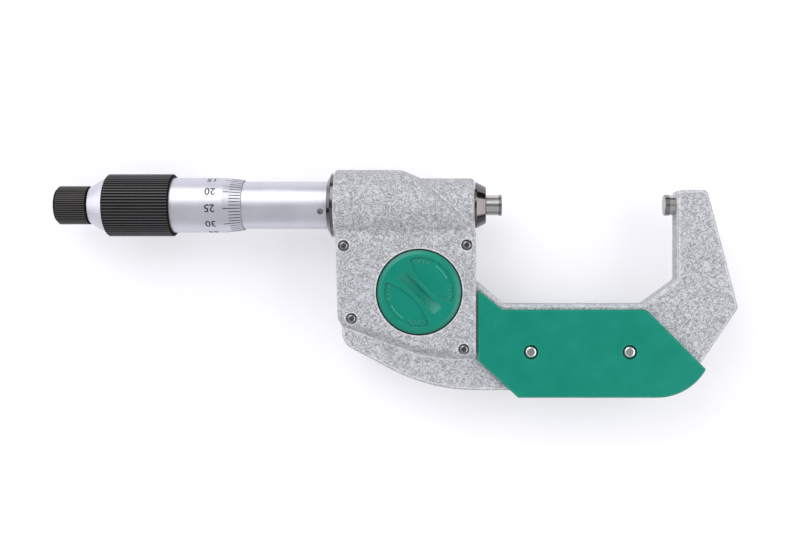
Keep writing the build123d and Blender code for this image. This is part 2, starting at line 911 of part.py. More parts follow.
def make_main_board():
    """The main circuit board, cut to the housing's hollow, with its chip."""
    face = cavity_plan(-board_gap)
    body = slab(face, board_top_z, board_top_z - board_thickness)
    low = board_top_z - board_thickness
    body += rounded_box(window_x, window_y, chip_side, chip_side, small_radius, low + overlap,
                        low - chip_height)
    for x, y in board_spots():
        body -= post(x, y, board_screw_radius + seat_gap, board_top_z + beyond, low - beyond)
    return body


def gasket_plan(play):
    """The ring that the cover's gasket fills."""
    return cavity_plan(gasket_offset + gasket_width + play) - cavity_plan(gasket_offset - play)


def make_cover_gasket():
    """The rubber gasket in the cover's back face."""
    return slab(gasket_plan(0), parting_z - cover_seat_gap, parting_z - gasket_depth)


def collar_foot_z():
    """Height at which the collar stands on the battery tray."""
    return tray_top_z() + press_gap


def tray_top_z():
    """Height of the battery tray's floor."""
    return cavity_roof_z + bay_ledge_height + seat_gap + tray_thickness


def cap_under_z():
    """Height of the underside of the battery cap's disc."""
    return block_back_z + cap_proud - cap_thickness


def bayonet_ledge_top():
    """Height of the top of the collar's bayonet ledge."""
    return cap_under_z() - seal_height - seat_gap


def sector(x, y, radius, middle, width, z0, z1):
    """A pie slice about (x, y), as a cutter or a lug blank."""
    rays = [math.radians(middle + part * width / 2) for part in (-1, -0.5, 0, 0.5, 1)]
    reach = radius / math.cos(math.radians(width / 8))
    points = [(0, 0)] + [(reach * math.cos(ray), reach * math.sin(ray)) for ray in rays]
    return Pos(x, y, 0) * slab(make_face(Polyline(*points, close=True)), z0, z1)


def make_battery_collar():
    """The black ring in the battery hole, with the ledge that the cap's lugs hook under."""
    foot = collar_foot_z()
    top = bayonet_ledge_top()
    body = post(bay_x, bay_y, bay_hole_radius, foot, block_back_z - seat_gap,
                bay_hole_radius - collar_wall)
    ledge = post(bay_x, bay_y, bay_hole_radius - collar_wall / 2, top - bayonet_ledge_height, top,
                 bayonet_ledge_radius)
    for number in range(bayonet_lugs):
        middle = number * 360 / bayonet_lugs + bayonet_turn
        ledge -= sector(bay_x, bay_y, bay_hole_radius + beyond, middle, lug_angle + lug_angle_play,
                        top - bayonet_ledge_height - beyond, top + beyond)
    return body + (ledge & post(bay_x, bay_y, bay_hole_radius - collar_wall / 2, foot, block_back_z))


def make_battery_cap():
    """The cap: bevelled disc, coin slot, two sunk fields, skirt and three bayonet lugs."""
    top = block_back_z + cap_proud
    under = cap_under_z()
    outer = cap_radius
    profile = (
        (0, under),
        (outer, under),
        (outer, top - cap_bevel_drop),
        (outer - cap_bevel, top),
        (0, top),
    )
    face = make_face(Polyline(*[(radius, 0, z) for radius, z in profile], close=True))
    body = Pos(bay_x, bay_y, 0) * revolve(face, axis=Axis.Z)
    skirt_radius = bayonet_ledge_radius - free_gap
    foot = under - cap_skirt_depth
    body += post(bay_x, bay_y, skirt_radius, under + overlap, foot, skirt_radius - cap_skirt_wall)
    lug_top = bayonet_ledge_top() - bayonet_ledge_height - lug_play
    lug_reach = bay_hole_radius - collar_wall - free_gap
    ring = post(bay_x, bay_y, lug_reach, lug_top, lug_top - lug_height, skirt_radius - overlap)
    for number in range(bayonet_lugs):
        middle = number * 360 / bayonet_lugs
        body += ring & sector(
            bay_x, bay_y, lug_reach + beyond, middle, lug_angle, lug_top, lug_top - lug_height)
    body -= coin_slot(top)
    for side in (1, -1):
        body -= cap_field(side, top)
    return body


def coin_slot(top):
    """The coin slot, whose floor follows the rim of a coin."""
    half = cap_slot_length / 2
    coin_radius = (half ** 2 + cap_slot_depth ** 2) / (2 * cap_slot_depth)
    coin = Rot(90, 0, 0) * Cylinder(coin_radius, cap_slot_width)
    return Pos(bay_x, bay_y, top - cap_slot_depth + coin_radius) * Rot(0, 0, cap_slot_angle) * coin


def cap_field(side, top):
    """A sunk field beside the coin slot: a disc cut by a wide arc, with rounded ends."""
    face = Circle(cap_recess_radius) & (Pos(0, cap_spine_half + cap_bow_radius) * Circle(cap_bow_radius))
    face = fillet(face.vertices(), cap_recess_corner)
    turn = cap_slot_angle if side > 0 else cap_slot_angle + 180
    return Pos(bay_x, bay_y, 0) * Rot(0, 0, turn) * slab(face, top - cap_recess_depth, top + beyond)


def make_battery_cap_seal():
    """The rubber ring under the rim of the cap."""
    skirt_radius = bayonet_ledge_radius - free_gap
    under = cap_under_z()
    return post(bay_x, bay_y, cap_radius - seat_gap, under - seal_height, under - cover_seat_gap,
                skirt_radius + press_gap)


def make_battery_tray():
    """The plastic tray on the ledge of the battery hole, with slots for both contacts."""
    low = cavity_roof_z + bay_ledge_height + seat_gap
    body = post(bay_x, bay_y, bay_hole_radius - seat_gap, low, tray_top_z())
    rim = battery_radius + free_gap
    body += post(bay_x, bay_y, rim + tray_rim_width, tray_top_z() - overlap,
                 tray_top_z() + tray_rim_height, rim)
    high = tray_thickness + tray_rim_height + 2 * beyond
    body -= Pos(bay_x, bay_y, low) * Box(
        2 * contact_half + 2 * contact_play, contact_width + contact_side_play, high)
    body -= Pos(bay_x + battery_radius + contact_slot_middle, bay_y, low + tray_thickness) * Box(
        contact_slot_length, plus_width + contact_play * 2, 2 * high)
    return body


def battery_foot_z():
    """Height of the cell's underside."""
    return tray_top_z() + battery_above_tray


def make_battery():
    """The coin cell, with the step between its two halves."""
    foot = battery_foot_z()
    body = post(bay_x, bay_y, battery_radius, foot + battery_can_step, foot + battery_height)
    body += post(bay_x, bay_y, battery_radius - battery_foot_inset, foot, foot + battery_can_step + overlap)
    top = edges_at_z(body, foot + battery_height)
    return fillet(top, battery_edge_radius)


def make_contact_minus():
    """The spring leaf under the cell: it stands on the board and bows up to the cell."""
    foot = board_top_z + press_gap
    high = battery_foot_z() - press_gap
    knee = tray_top_z() - contact_knee_drop
    half = contact_half
    leaf = contact_leaf
    points = (
        (-half, foot),
        (-half + leaf, foot),
        (-half + leaf, knee),
        (0.0, high - leaf),
        (half, knee + leaf),
        (half + leaf / 2, knee + 2 * leaf),
        (leaf / 2, high),
        (-leaf / 2, high),
        (-half, knee + leaf),
    )
    face = make_face(Polyline(*[(x, 0, z) for x, z in points], close=True))
    return Pos(bay_x, bay_y + contact_width / 2, 0) * extrude(face, amount=contact_width, dir=(0, -1, 0))


def make_contact_plus():
    """The spring leaf beside the cell, from the board up to the cell's can."""
    inner = battery_radius + seat_gap
    foot = board_top_z + press_gap
    top = battery_foot_z() + battery_height * plus_height_share
    return Pos(bay_x + inner, bay_y, foot) * Box(
        plus_leaf, plus_width, top - foot, align=(Align.MIN, Align.CENTER, Align.MIN))


def make_anvil():
    """The fixed anvil's steel shank."""
    return tube(anvil_tip_length, anvil_end, anvil_radius)


def make_anvil_tip():
    """The anvil's hard tip."""
    return turned(tip_profile(0, anvil_tip_length, anvil_tip_radius))


def tip_profile(face_x, seat_x, radius):
    """Outline of a measuring tip with a fine chamfer at its face."""
    step = fine_edge if seat_x > face_x else -fine_edge
    return (
        (face_x, 0),
        (face_x, radius - fine_edge),
        (face_x + step, radius),
        (seat_x, radius),
        (seat_x, 0),
    )


def make_spindle():
    """The spindle: shank with its key groove, threaded length and taper for the thimble."""
    front = -gap_at_rest - spindle_tip_length
    taper_large = spindle_thread_radius
    body = turned((
        (front, 0),
        (front, spindle_radius),
        (thread_start, spindle_radius),
        (thread_start - thread_lead_in, spindle_thread_radius),
        (thread_end, spindle_thread_radius),
        (thread_end, taper_large - neck_depth),
        (taper_start + thread_lead_in, taper_large - neck_depth),
        (taper_start + thread_lead_in, taper_large),
        (taper_start, taper_large),
        (taper_end, taper_small_radius),
        (taper_end, 0),
    ))
    rear = key_x - key_length / 2 - spindle_travel - free_gap
    fore = key_x + key_length / 2 + free_gap
    groove = Pos(rear, 0, spindle_radius - groove_depth) * Box(
        fore - rear, groove_width, spindle_radius, align=(Align.MIN, Align.CENTER, Align.MIN))
    body -= groove
    body -= tube(taper_end - beyond, taper_end + spindle_screw_depth, ratchet_shaft_radius + press_gap)
    return body


def make_spindle_tip():
    """The spindle's hard tip."""
    return turned(tip_profile(-gap_at_rest, -gap_at_rest - spindle_tip_length, spindle_tip_radius))


def nose_back():
    """Rear face of the nose ring, a little in front of the boss."""
    return boss_end + nose_gap


def make_nose_ring():
    """The blackened cone that closes the boss round the spindle."""
    front = nose_back() + nose_length
    back = nose_back()
    bore = spindle_radius + free_gap
    pocket = back + seal_length - seal_sunk
    return turned((
        (back, bush_radius + press_gap / 2),
        (back, nose_radius),
        (back + nose_band, nose_radius),
        (front - nose_edge, nose_small_radius),
        (front, nose_small_radius - nose_edge),
        (front, bore),
        (pocket, bore),
        (pocket, seal_radius + seat_gap),
        (back - nose_spigot, seal_radius + seat_gap),
        (back - nose_spigot, bush_radius),
        (back, bush_radius),
    ))


def make_spindle_seal():
    """The felt ring that wipes the spindle."""
    end = nose_back() + seal_length - seal_sunk - seat_gap
    return tube(end - seal_length, end, seal_radius, spindle_radius + running_fit)


def bush_front():
    """Front end of the spindle bush."""
    return nose_back() - nose_spigot - seat_gap


def make_spindle_bush():
    """The slit front bush, which the lock squeezes on the spindle."""
    front = bush_front()
    body = tube(front - bush_length, front, bush_radius, spindle_radius + running_fit)
    slit = Pos(front - bush_length / 2, 0, 0) * Box(
        bush_length - 2 * bush_slit_end, bush_slit, bush_radius + beyond,
        align=(Align.CENTER, Align.CENTER, Align.MIN))
    return body - slit


def make_lock_shoe():
    """The small pad between the lock screw and the bush."""
    top = -bush_radius - seat_gap
    return post(lock_x(), 0, lock_screw_radius, top, top - lock_shoe_length)


def make_lock_lever():
    """The lock lever: a hub with a tapered arm."""
    top = lock_seat_z - free_gap
    low = top - lock_hub_height
    body = post(lock_x(), 0, lock_hub_radius, top, low)
    body = fillet(edges_at_z(body, low), lock_hub_edge)
    tip = lock_arm_width / 2
    root = tip * lock_arm_taper
    arm_face = make_face(Polyline(
        (0, -root), (lock_arm_length, -tip), (lock_arm_length, tip), (0, root), close=True))
    arm_face += Pos(lock_arm_length, 0) * Circle(tip)
    arm = slab(arm_face, low + lock_arm_rise, low + lock_arm_rise + lock_arm_height)
    body += Pos(lock_x(), 0, 0) * Rot(0, 0, lock_arm_turn) * arm
    body -= post(lock_x(), 0, lock_screw_radius + press_gap, top + beyond, low + lock_floor)
    return body


def make_lock_screw():
    """The lock's clamping screw, fixed in the lever."""
    low = lock_seat_z - free_gap - lock_hub_height + lock_floor
    high = -bush_radius - seat_gap - lock_shoe_length - overlap
    return post(lock_x(), 0, lock_screw_radius, low, high)


def make_rotor_bush():
    """The bush that turns with the spindle and carries the encoder's rotor."""
    body = tube(rotor_bush_start, rotor_bush_end(), rotor_bush_radius, spindle_radius + running_fit)
    body -= Pos(key_x, 0, spindle_radius - beyond) * Box(
        key_length + 2 * press_gap, key_width + 2 * press_gap, rotor_bush_radius,
        align=(Align.CENTER, Align.CENTER, Align.MIN))
    return body


def make_drive_key():
    """The key that slides in the spindle's groove."""
    low = spindle_radius - groove_depth + overlap
    return Pos(key_x, 0, low) * Box(
        key_length, key_width, rotor_bush_radius - key_sunk - low,
        align=(Align.CENTER, Align.CENTER, Align.MIN))


def make_rotor_disc():
    """The encoder's rotor."""
    return tube(rotor_disc_x(), rotor_disc_x() + rotor_disc_thickness, rotor_disc_radius,
                rotor_bush_radius + press_gap)


def stator_start():
    """Rear face of the encoder's stator."""
    return rotor_disc_x() + rotor_disc_thickness + stator_gap


def make_stator_board():
    """The encoder's fixed ring, facing the rotor."""
    return tube(stator_start(), stator_start() + stator_thickness, rotor_bore_radius - press_gap,
                stator_bore_radius)


def make_rotor_bearing():
    """The plain bearing that the rotor's bush turns in."""
    start = rotor_bush_end() - bearing_length - bearing_setback
    return tube(start, start + bearing_length, rotor_bore_radius - press_gap, rotor_bush_radius + running_fit)


def make_inner_sleeve():
    """The threaded inner sleeve: flange in the casting, nut length and slit rear end."""
    nut_bore = spindle_thread_radius + seat_gap
    slit_bore = nut_bore + slit_bore_step
    body = turned((
        (inner_sleeve_flange_front, inner_sleeve_bore),
        (inner_sleeve_flange_front, inner_sleeve_flange_radius),
        (ridge_left, inner_sleeve_flange_radius),
        (ridge_left, inner_sleeve_radius),
        (nut_seat_start, inner_sleeve_radius),
        (nut_seat_start, nut_seat_radius),
        (inner_sleeve_end, nut_seat_radius),
        (inner_sleeve_end, slit_bore),
        (nut_zone_end, slit_bore),
        (nut_zone_end, nut_bore),
        (nut_zone_start, nut_bore),
        (nut_zone_start, inner_sleeve_bore),
    ))
    slit_length = nut_seat_start - inner_sleeve_end + nut_slit_reach
    for turn in (0, 120, 240):
        body -= Rot(turn, 0, 0) * Pos(inner_sleeve_end - beyond, 0, 0) * Box(
            slit_length, nut_slit, 2 * inner_sleeve_radius, align=(Align.MIN, Align.CENTER, Align.MIN))
    return body


def make_adjusting_nut():
    """The nut that closes the slit sleeve on the spindle's thread."""
    start = nut_seat_start - nut_setback
    body = tube(start - adjusting_nut_length, start, inner_sleeve_radius - seat_gap,
                nut_seat_radius + press_gap)
    for turn in (0, 180):
        body -= Rot(turn, 0, 0) * Pos(start - adjusting_nut_length / 2, 0, nut_seat_radius) * Box(
            nut_flat, nut_flat, nut_seat_radius)
    return body


def make_outer_sleeve():
    """The smooth outer sleeve with its spanner hole."""
    front = ridge_left - sleeve_front_gap
    bore = inner_sleeve_radius + press_gap
    line = sleeve_line_width / 2
    body = turned((
        (outer_sleeve_end, bore),
        (outer_sleeve_end, outer_sleeve_radius - fine_edge),
        (outer_sleeve_end + fine_edge, outer_sleeve_radius),
        (sleeve_line_x - line, outer_sleeve_radius),
        (sleeve_line_x - line, outer_sleeve_radius - sleeve_line_depth),
        (sleeve_line_x + line, outer_sleeve_radius - sleeve_line_depth),
        (sleeve_line_x + line, outer_sleeve_radius),
        (front, outer_sleeve_radius),
        (front, bore),
    ))
    hole = Rot(spanner_hole_turn, 0, 0) * Pos(spanner_hole_x, 0, inner_sleeve_radius - beyond) * Cylinder(
        spanner_hole_radius, outer_sleeve_radius, align=(Align.CENTER, Align.CENTER, Align.MIN))
    return body - hole


def make_barrel_ring():
    """The black cone between the sleeve and the casting."""
    front = ridge_left - seat_gap
    band_start = front - barrel_ring_band
    return turned((
        (barrel_ring_rear, outer_sleeve_radius + press_gap),
        (barrel_ring_rear, barrel_ring_rear_radius),
        (band_start, barrel_ring_front_radius),
        (band_start, barrel_ring_front_radius - barrel_ring_step),
        (front, barrel_ring_front_radius - barrel_ring_step),
        (front, outer_sleeve_radius + press_gap),
    ))


def make_thimble():
    """The thimble: graduated bevel, tube, hub on the spindle's taper and rear cone."""
    floor = cone_end + ratchet_recess_depth
    return turned((
        (thimble_edge - thimble_mouth_depth, thimble_bore),
        (thimble_edge - thimble_mouth_depth, thimble_mouth_radius),
        (thimble_edge, thimble_mouth_radius),
        (thimble_edge, thimble_edge_radius),
        (thimble_bevel_start, thimble_radius),
        (cone_start, thimble_radius),
        (cone_start, thimble_rear_radius - cone_edge),
        (cone_start - cone_edge, thimble_rear_radius),
        (cone_end + cone_edge, cone_end_radius),
        (cone_end, cone_end_radius - cone_edge),
        (cone_end, ratchet_recess_radius),
        (floor, ratchet_recess_radius),
        (floor, ratchet_hole_radius),
        (taper_end - overlap, ratchet_hole_radius),
        (taper_end - overlap, taper_small_radius + press_gap),
        (hub_front, spindle_thread_radius + press_gap),
        (hub_front, thimble_bore),
    ))


def make_thimble_grip():
    """The ribbed rubber grip on the thimble."""
    body = ribbed_bar(cone_start + press_gap, grip_front, grip_radius, grip_rib_depth, grip_rib_count,
                      grip_rib_share, grip_chamfer, grip_chamfer)
    return body - tube(cone_start - beyond, grip_front + beyond, thimble_radius + press_gap)


def ratchet_teeth(root_x, direction, radius):
    """Cutters for a ring of saw teeth in a disc's face; direction is -1 for a face towards -X."""
    step = 360 / ratchet_tooth_count
    reach = radius + beyond
    width = reach * math.tan(math.radians(step)) * ratchet_cut_share
    tip = root_x + direction * ratchet_tooth_height
    clear = tip + direction * beyond
    cutters = []
    for number in range(ratchet_tooth_count):
        corners = ((root_x, 0), (tip, width), (clear, width), (clear, 0))
        side = make_face(Polyline(*[(x, y, 0) for x, y in corners], close=True))
        low = make_face(Polyline(*[(x, y * ratchet_cut_root, 0) for x, y in corners], close=True))
        wedge = loft([Pos(0, 0, ratchet_cut_root * reach) * low, Pos(0, 0, reach) * side])
        cutters.append(Rot(number * step, 0, 0) * wedge)
    return cutters


def make_ratchet_fixed_disc():
    """The ratchet's fixed disc in the thimble's recess, with saw teeth to the rear."""
    seat = cone_end + ratchet_recess_depth - press_gap
    tip = knob_front + free_gap / 2
    body = tube(tip, seat, ratchet_recess_radius - press_gap, ratchet_hole_radius - seat_gap)
    for cutter in ratchet_teeth(tip + ratchet_tooth_height, -1, ratchet_recess_radius):
        body -= cutter
    return body


def moving_disc_front():
    """Tips of the moving disc's teeth."""
    return knob_front - free_gap / 2


def make_ratchet_disc():
    """The ratchet's sprung disc in the knob, with saw teeth to the front."""
    front = moving_disc_front()
    body = tube(front - ratchet_disc_thickness, front, knob_bore - press_gap, ratchet_hole_radius)
    for cutter in ratchet_teeth(front - ratchet_tooth_height, 1, knob_bore):
        body -= cutter
    return body


def make_ratchet_spring():
    """The coil spring behind the moving disc."""
    high = moving_disc_front() - ratchet_disc_thickness - press_gap - spring_wire_radius
    low = knob_wall_x + press_gap + spring_wire_radius
    length = high - low
    path = Helix(pitch=length / spring_turns, height=length, radius=spring_radius)
    wire = Plane(origin=path @ 0, z_dir=path % 0) * Circle(spring_wire_radius)
    coil = sweep(wire, path=path, is_frenet=True)
    return Pos(low, 0, 0) * Rot(0, 90, 0) * coil


def make_ratchet_knob():
    """The ribbed ratchet knob."""
    body = ribbed_bar(knob_rear, knob_front, knob_radius, knob_rib_depth, knob_rib_count,
                      knob_rib_share, knob_front_chamfer, knob_rear_chamfer)
    body -= tube(knob_wall_x, knob_front + beyond, knob_bore)
    body -= tube(knob_rear - beyond, knob_wall_x + beyond, ratchet_hole_radius)
    body -= tube(knob_rear - beyond, knob_rear + knob_counterbore_depth, knob_counterbore)
    return body


def make_ratchet_screw():
    """The screw that holds the ratchet on the spindle."""
    head_front = knob_rear + knob_counterbore_depth - seat_gap
    body = tube(head_front - overlap, taper_end + spindle_screw_depth - beyond, ratchet_shaft_radius)
    head = tube(head_front - ratchet_head_length, head_front, ratchet_head_radius)
    slot = Pos(head_front - ratchet_head_length, 0, 0) * Box(
        2 * ratchet_slot_depth, 3 * ratchet_head_radius, ratchet_slot_width)
    return body + head - slot


def make_ratchet_cap():
    """The thin cap that closes the knob's end."""
    outer = knob_rear + end_cap_setback
    return tube(outer, outer + end_cap_thickness, knob_counterbore - press_gap)


def write(name, *solids):
    """Write one node as STEP; several solids stay separate in it."""
    found = []
    for solid in solids:
        found += solid.solids()
    shape = found[0] if len(found) == 1 else Compound(children=found)
    export_step(shape, f"parts/{name}.step")
    print(name, len(found))


def main():
    """Build every piece and write it to its own file."""
    os.makedirs("parts", exist_ok=True)
    write("frame", make_frame())
    write("anvil", make_anvil())
    write("anvil_tip", make_anvil_tip())
    write("grip_plate_back", make_grip_plate(1))
    write("grip_plate_front", make_grip_plate(-1))
    write("grip_plate_screws", *make_plate_screws())
    write("nose_ring", make_nose_ring())
    write("spindle_bush", make_spindle_bush())
    write("spindle_seal", make_spindle_seal())
    write("inner_sleeve", make_inner_sleeve())
    write("outer_sleeve", make_outer_sleeve())
    write("adjusting_nut", make_adjusting_nut())
    write("barrel_ring", make_barrel_ring())
    write("stator_board", make_stator_board())
    write("rotor_bearing", make_rotor_bearing())
    write("main_board", make_main_board())
    write("board_screws", *make_board_screws())
    write("tact_switches", *make_tact_switches())
    write("lcd_panel", make_lcd_panel())
    write("lcd_connectors", *make_lcd_connectors())
    write("lcd_window", make_lcd_window())
    write("front_cover", make_front_cover() - slab(gasket_plan(seat_gap / 2), parting_z + beyond,
                                                   parting_z - gasket_depth - seat_gap))
    write("cover_gasket", make_cover_gasket())
    write("housing_screws", *make_housing_screws())
    write("battery", make_battery())
    write("battery_collar", make_battery_collar())
    write("battery_tray", make_battery_tray())
    write("battery_contact_minus", make_contact_minus())
    write("battery_contact_plus", make_contact_plus())
    write("lock_shoe", make_lock_shoe())
    write("lock_lever", make_lock_lever())
    write("lock_screw", make_lock_screw())
    write("battery_cap", make_battery_cap())
    write("battery_cap_seal", make_battery_cap_seal())
    write("rotor_bush", make_rotor_bush())
    write("rotor_disc", make_rotor_disc())
    write("drive_key", make_drive_key())
    write("spindle", make_spindle())
    write("spindle_tip", make_spindle_tip())
    write("thimble", make_thimble())
    write("thimble_grip", make_thimble_grip())
    write("ratchet_screw", make_ratchet_screw())
    write("ratchet_fixed_disc", make_ratchet_fixed_disc())
    write("ratchet_knob", make_ratchet_knob())
    write("ratchet_disc", make_ratchet_disc())
    write("ratchet_spring", make_ratchet_spring())
    write("ratchet_cap", make_ratchet_cap())
    names = ("button_zero", "button_unit", "button_power")
    for name, x in zip(names, button_places()):
        write(name, make_button(x))


main()
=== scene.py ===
# %% [markdown]
# # Dressing a digital outside micrometer
# The solids come from a CAD model and are already at their real size and place.
# This lesson gives every solid its finish and adds what is printed, engraved or moulded on it:
# the scales of thimble and sleeve, the words on the battery cap, the display and the key signs.
# A fixed model could be rebuilt by hand in Blender, but then it would no longer match its joints,
# so the solids are loaded once and everything new is placed from their own measures.

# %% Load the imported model
import json
import math

import bmesh
import bpy
import numpy as np
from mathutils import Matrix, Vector


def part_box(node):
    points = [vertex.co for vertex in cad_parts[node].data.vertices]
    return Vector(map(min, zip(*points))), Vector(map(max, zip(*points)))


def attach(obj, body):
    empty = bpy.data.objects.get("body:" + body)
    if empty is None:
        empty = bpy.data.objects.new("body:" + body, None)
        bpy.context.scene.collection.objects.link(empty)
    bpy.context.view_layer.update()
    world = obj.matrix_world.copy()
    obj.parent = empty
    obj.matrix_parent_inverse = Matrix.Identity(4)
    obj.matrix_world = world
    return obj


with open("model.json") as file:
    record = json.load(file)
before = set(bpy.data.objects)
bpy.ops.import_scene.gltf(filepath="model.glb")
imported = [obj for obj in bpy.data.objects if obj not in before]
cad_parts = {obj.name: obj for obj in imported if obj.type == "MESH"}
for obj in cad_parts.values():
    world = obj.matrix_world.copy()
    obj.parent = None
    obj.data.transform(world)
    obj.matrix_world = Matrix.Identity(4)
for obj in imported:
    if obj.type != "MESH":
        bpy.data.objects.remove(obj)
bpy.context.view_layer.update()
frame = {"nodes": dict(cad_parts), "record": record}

MM = 0.001
nodes = frame["nodes"]

# %% [markdown]
# ## Sizes that the printed pieces need
# The spindle's axis is the X axis, +Z comes out of the back of the housing and +Y is its top.
# Angles round the spindle are counted from +Z towards -Y, which is down in the photograph.
# Thimble and sleeve were turned on a lathe, so a radius and a place along X are all that
# a scale on them needs.

# %% Sizes in metres
thimble_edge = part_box("thimble")[1][0]
bevel_length = 5.55 * MM
edge_radius = 7.75 * MM                # of the thimble, at the bevel's thin end
thimble_radius = 8.45 * MM
sleeve_radius = 7.3 * MM
line_count = 50
zero_turn = math.radians(-171.7)       # where the thimble's zero and the sleeve's index line stand
line_step = 2 * math.pi / line_count
display_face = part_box("front_cover")[0][2]
bay_centre = np.array(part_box("battery_cap")).mean(axis=0)
cap_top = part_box("battery_cap")[1][2]
field_floor = cap_top - 0.5 * MM       # of the two sunk fields of the battery cap
print_sink = 0.02 * MM                 # print reaches this far into the surface that carries it
lcd_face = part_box("lcd_panel")[0][2]
window_box = np.array(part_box("lcd_window"))
print("thimble edge at X", round(thimble_edge / MM, 2), "mm")
print("display face at Z", round(display_face / MM, 2), "mm")

# %% [markdown]
# ## Meshes from arrays
# A printed line or letter is a very thin solid. Its corners are worked out as whole numpy arrays
# and handed to Blender in one step, which is far quicker than adding them one by one. Then corners
# that fall together are joined, and all faces are turned outwards, as light and export expect.

# %% From arrays to a piece
def new_piece(name, points, faces, body, material, slot="black_plastic"):
    """A closed mesh object from an array of points and a list of faces, riding on a body."""
    mesh = bpy.data.meshes.new(name)
    mesh.from_pydata(np.asarray(points, dtype=float).tolist(), [], faces)
    mesh.validate()
    mesh.update()
    mesh.materials.append(material)
    shape = bmesh.new()
    shape.from_mesh(mesh)
    bmesh.ops.remove_doubles(shape, verts=shape.verts, dist=1e-7)
    bmesh.ops.recalc_face_normals(shape, faces=shape.faces)
    shape.to_mesh(mesh)
    shape.free()
    piece = bpy.data.objects.new(name, mesh)
    bpy.context.scene.collection.objects.link(piece)
    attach(piece, body)
    print(name, "vertices:", len(mesh.vertices), "rides", body)


def bars(corners, depth):
    """Closed four-sided bars. corners is an array (bars, 4, 3) of outer corners in order;
    the inner four corners are the outer ones moved by the array depth (bars, 1, 3)."""
    outer = np.asarray(corners)
    inner = outer - depth
    points = np.concatenate([outer, inner], axis=1).reshape(-1, 3)
    sides = np.array([
        [0, 1, 2, 3], [7, 6, 5, 4], [0, 4, 5, 1], [1, 5, 6, 2], [2, 6, 7, 3], [3, 7, 4, 0],
    ])
    faces = (np.arange(len(outer))[:, None, None] * 8 + sides[None]).reshape(-1, 4).tolist()
    return points, faces


def round_the_axis(x, radius, turn):
    """Points at distance radius from the X axis, turned by turn from +Z towards -Y."""
    return np.stack([x, -radius * np.sin(turn), radius * np.cos(turn)], axis=-1)


def skin(rows, around, closed=False):
    """Four-sided faces between rows of points, each row a loop with the same number of points:
    k and k + 1 of one row with k + 1 and k of the next. closed joins the last row to the first."""
    row = np.arange(rows if closed else rows - 1)[:, None]
    point = np.arange(around)[None, :]
    beside = (point + 1) % around
    here, there = row * around, (row + 1) % rows * around
    corners = [here + point, here + beside, there + beside, there + point]
    return np.stack(corners, axis=-1).reshape(-1, 4).tolist()


def gathered(parts):
    """Several (points, faces) put together as one."""
    points = np.concatenate([part[0] for part in parts])
    starts = np.cumsum([0] + [len(part[0]) for part in parts[:-1]])
    faces = [tuple(int(start) + corner for corner in face)
             for start, part in zip(starts, parts) for face in part[1]]
    return points, faces


# %% [markdown]
# ## Shader groups
# Paint, steel, plastic and rubber differ in colour, but the same few effects break up their
# surfaces: soft mottling from handling, fine grain, marks left by the lathe, and pale edges that
# are partly rubbed wear and partly a painted highlight.
# Each effect is one node group with named sockets, so that every finish can reuse it with its own
# values. A group only puts out values and colours, and the shader stays in each material.
# The helpers below add one node each and hand back the socket that the next node reads.

# %% Helpers for node trees
def feed(tree, node, inputs):
    """Feed a node's inputs, by name or number: a socket is linked, a plain value is set."""
    for key, value in inputs.items():
        if isinstance(value, bpy.types.NodeSocket):
            tree.links.new(value, node.inputs[key])
        else:
            node.inputs[key].default_value = value


def put(tree, kind, inputs, **settings):
    """Add a node, set its properties by name and feed its inputs."""
    node = tree.nodes.new(kind)
    for key, value in settings.items():
        setattr(node, key, value)
    feed(tree, node, inputs)
    return node


def maths(tree, operation, first, second=0.0, **settings):
    """Two numbers put through one operation of arithmetic."""
    inputs = {0: first, 1: second}
    return put(tree, "ShaderNodeMath", inputs, operation=operation, **settings).outputs[0]


def vectors(tree, operation, first, second=(0.0, 0.0, 0.0)):
    """Two vectors put through one operation. A dot product or a length comes out as a number."""
    node = put(tree, "ShaderNodeVectorMath", {0: first, 1: second}, operation=operation)
    return node.outputs["Value" if operation in ("DOT_PRODUCT", "LENGTH") else "Vector"]


def ramp(tree, value, low, high, at_low=0.0, at_high=1.0, kind="LINEAR"):
    """A ramp from at_low to at_high while the value runs from low to high, level beyond both."""
    return put(tree, "ShaderNodeMapRange", {
        "Value": value, "From Min": low, "From Max": high, "To Min": at_low, "To Max": at_high,
    }, interpolation_type=kind).outputs["Result"]


def noise(tree, vector, scale, detail=2.0, roughness=0.5, distortion=0.0):
    """Noise round 0.5, read at a vector. The scale is in patches per metre."""
    return put(tree, "ShaderNodeTexNoise", {
        "Vector": vector, "Scale": scale, "Detail": detail, "Roughness": roughness,
        "Distortion": distortion,
    }).outputs["Fac"]


def blend(tree, mask, low, high):
    """The colour low where the mask is 0, and high where it is 1."""
    return put(tree, "ShaderNodeMix", {0: mask, 6: low, 7: high}, data_type="RGBA").outputs[2]


def new_group(name, values, results):
    """A shader group with a Vector input, float inputs with their first values and float outputs.
    Returns the group, the sockets that it is given, and its end node."""
    group = bpy.data.node_groups.new(name, "ShaderNodeTree")
    group.interface.new_socket("Vector", in_out="INPUT", socket_type="NodeSocketVector")
    for label, value in values.items():
        socket = group.interface.new_socket(label, in_out="INPUT", socket_type="NodeSocketFloat")
        socket.default_value = value
    for label in results:
        group.interface.new_socket(label, in_out="OUTPUT", socket_type="NodeSocketFloat")
    return group, group.nodes.new("NodeGroupInput").outputs, group.nodes.new("NodeGroupOutput")


# %% [markdown]
# **Mottle** is slow, low noise between a low and a high value. On a real instrument hands leave
# such patches of slightly different gloss. **Grain** is fine noise for a bump.

# %% Mottle and grain
def mottle_group():
    """Noise of a chosen size, spread between Low and High."""
    values = {"Size": 100.0, "Low": 0.3, "High": 0.4}
    group, given, end = new_group("Mottle", values, ("Value", "Mask"))
    patches = noise(group, given["Vector"], given["Size"], detail=4.0, roughness=0.6)
    mask = ramp(group, patches, 0.35, 0.65)
    value = ramp(group, mask, 0.0, 1.0, given["Low"], given["High"])
    feed(group, end, {"Value": value, "Mask": mask})
    return group


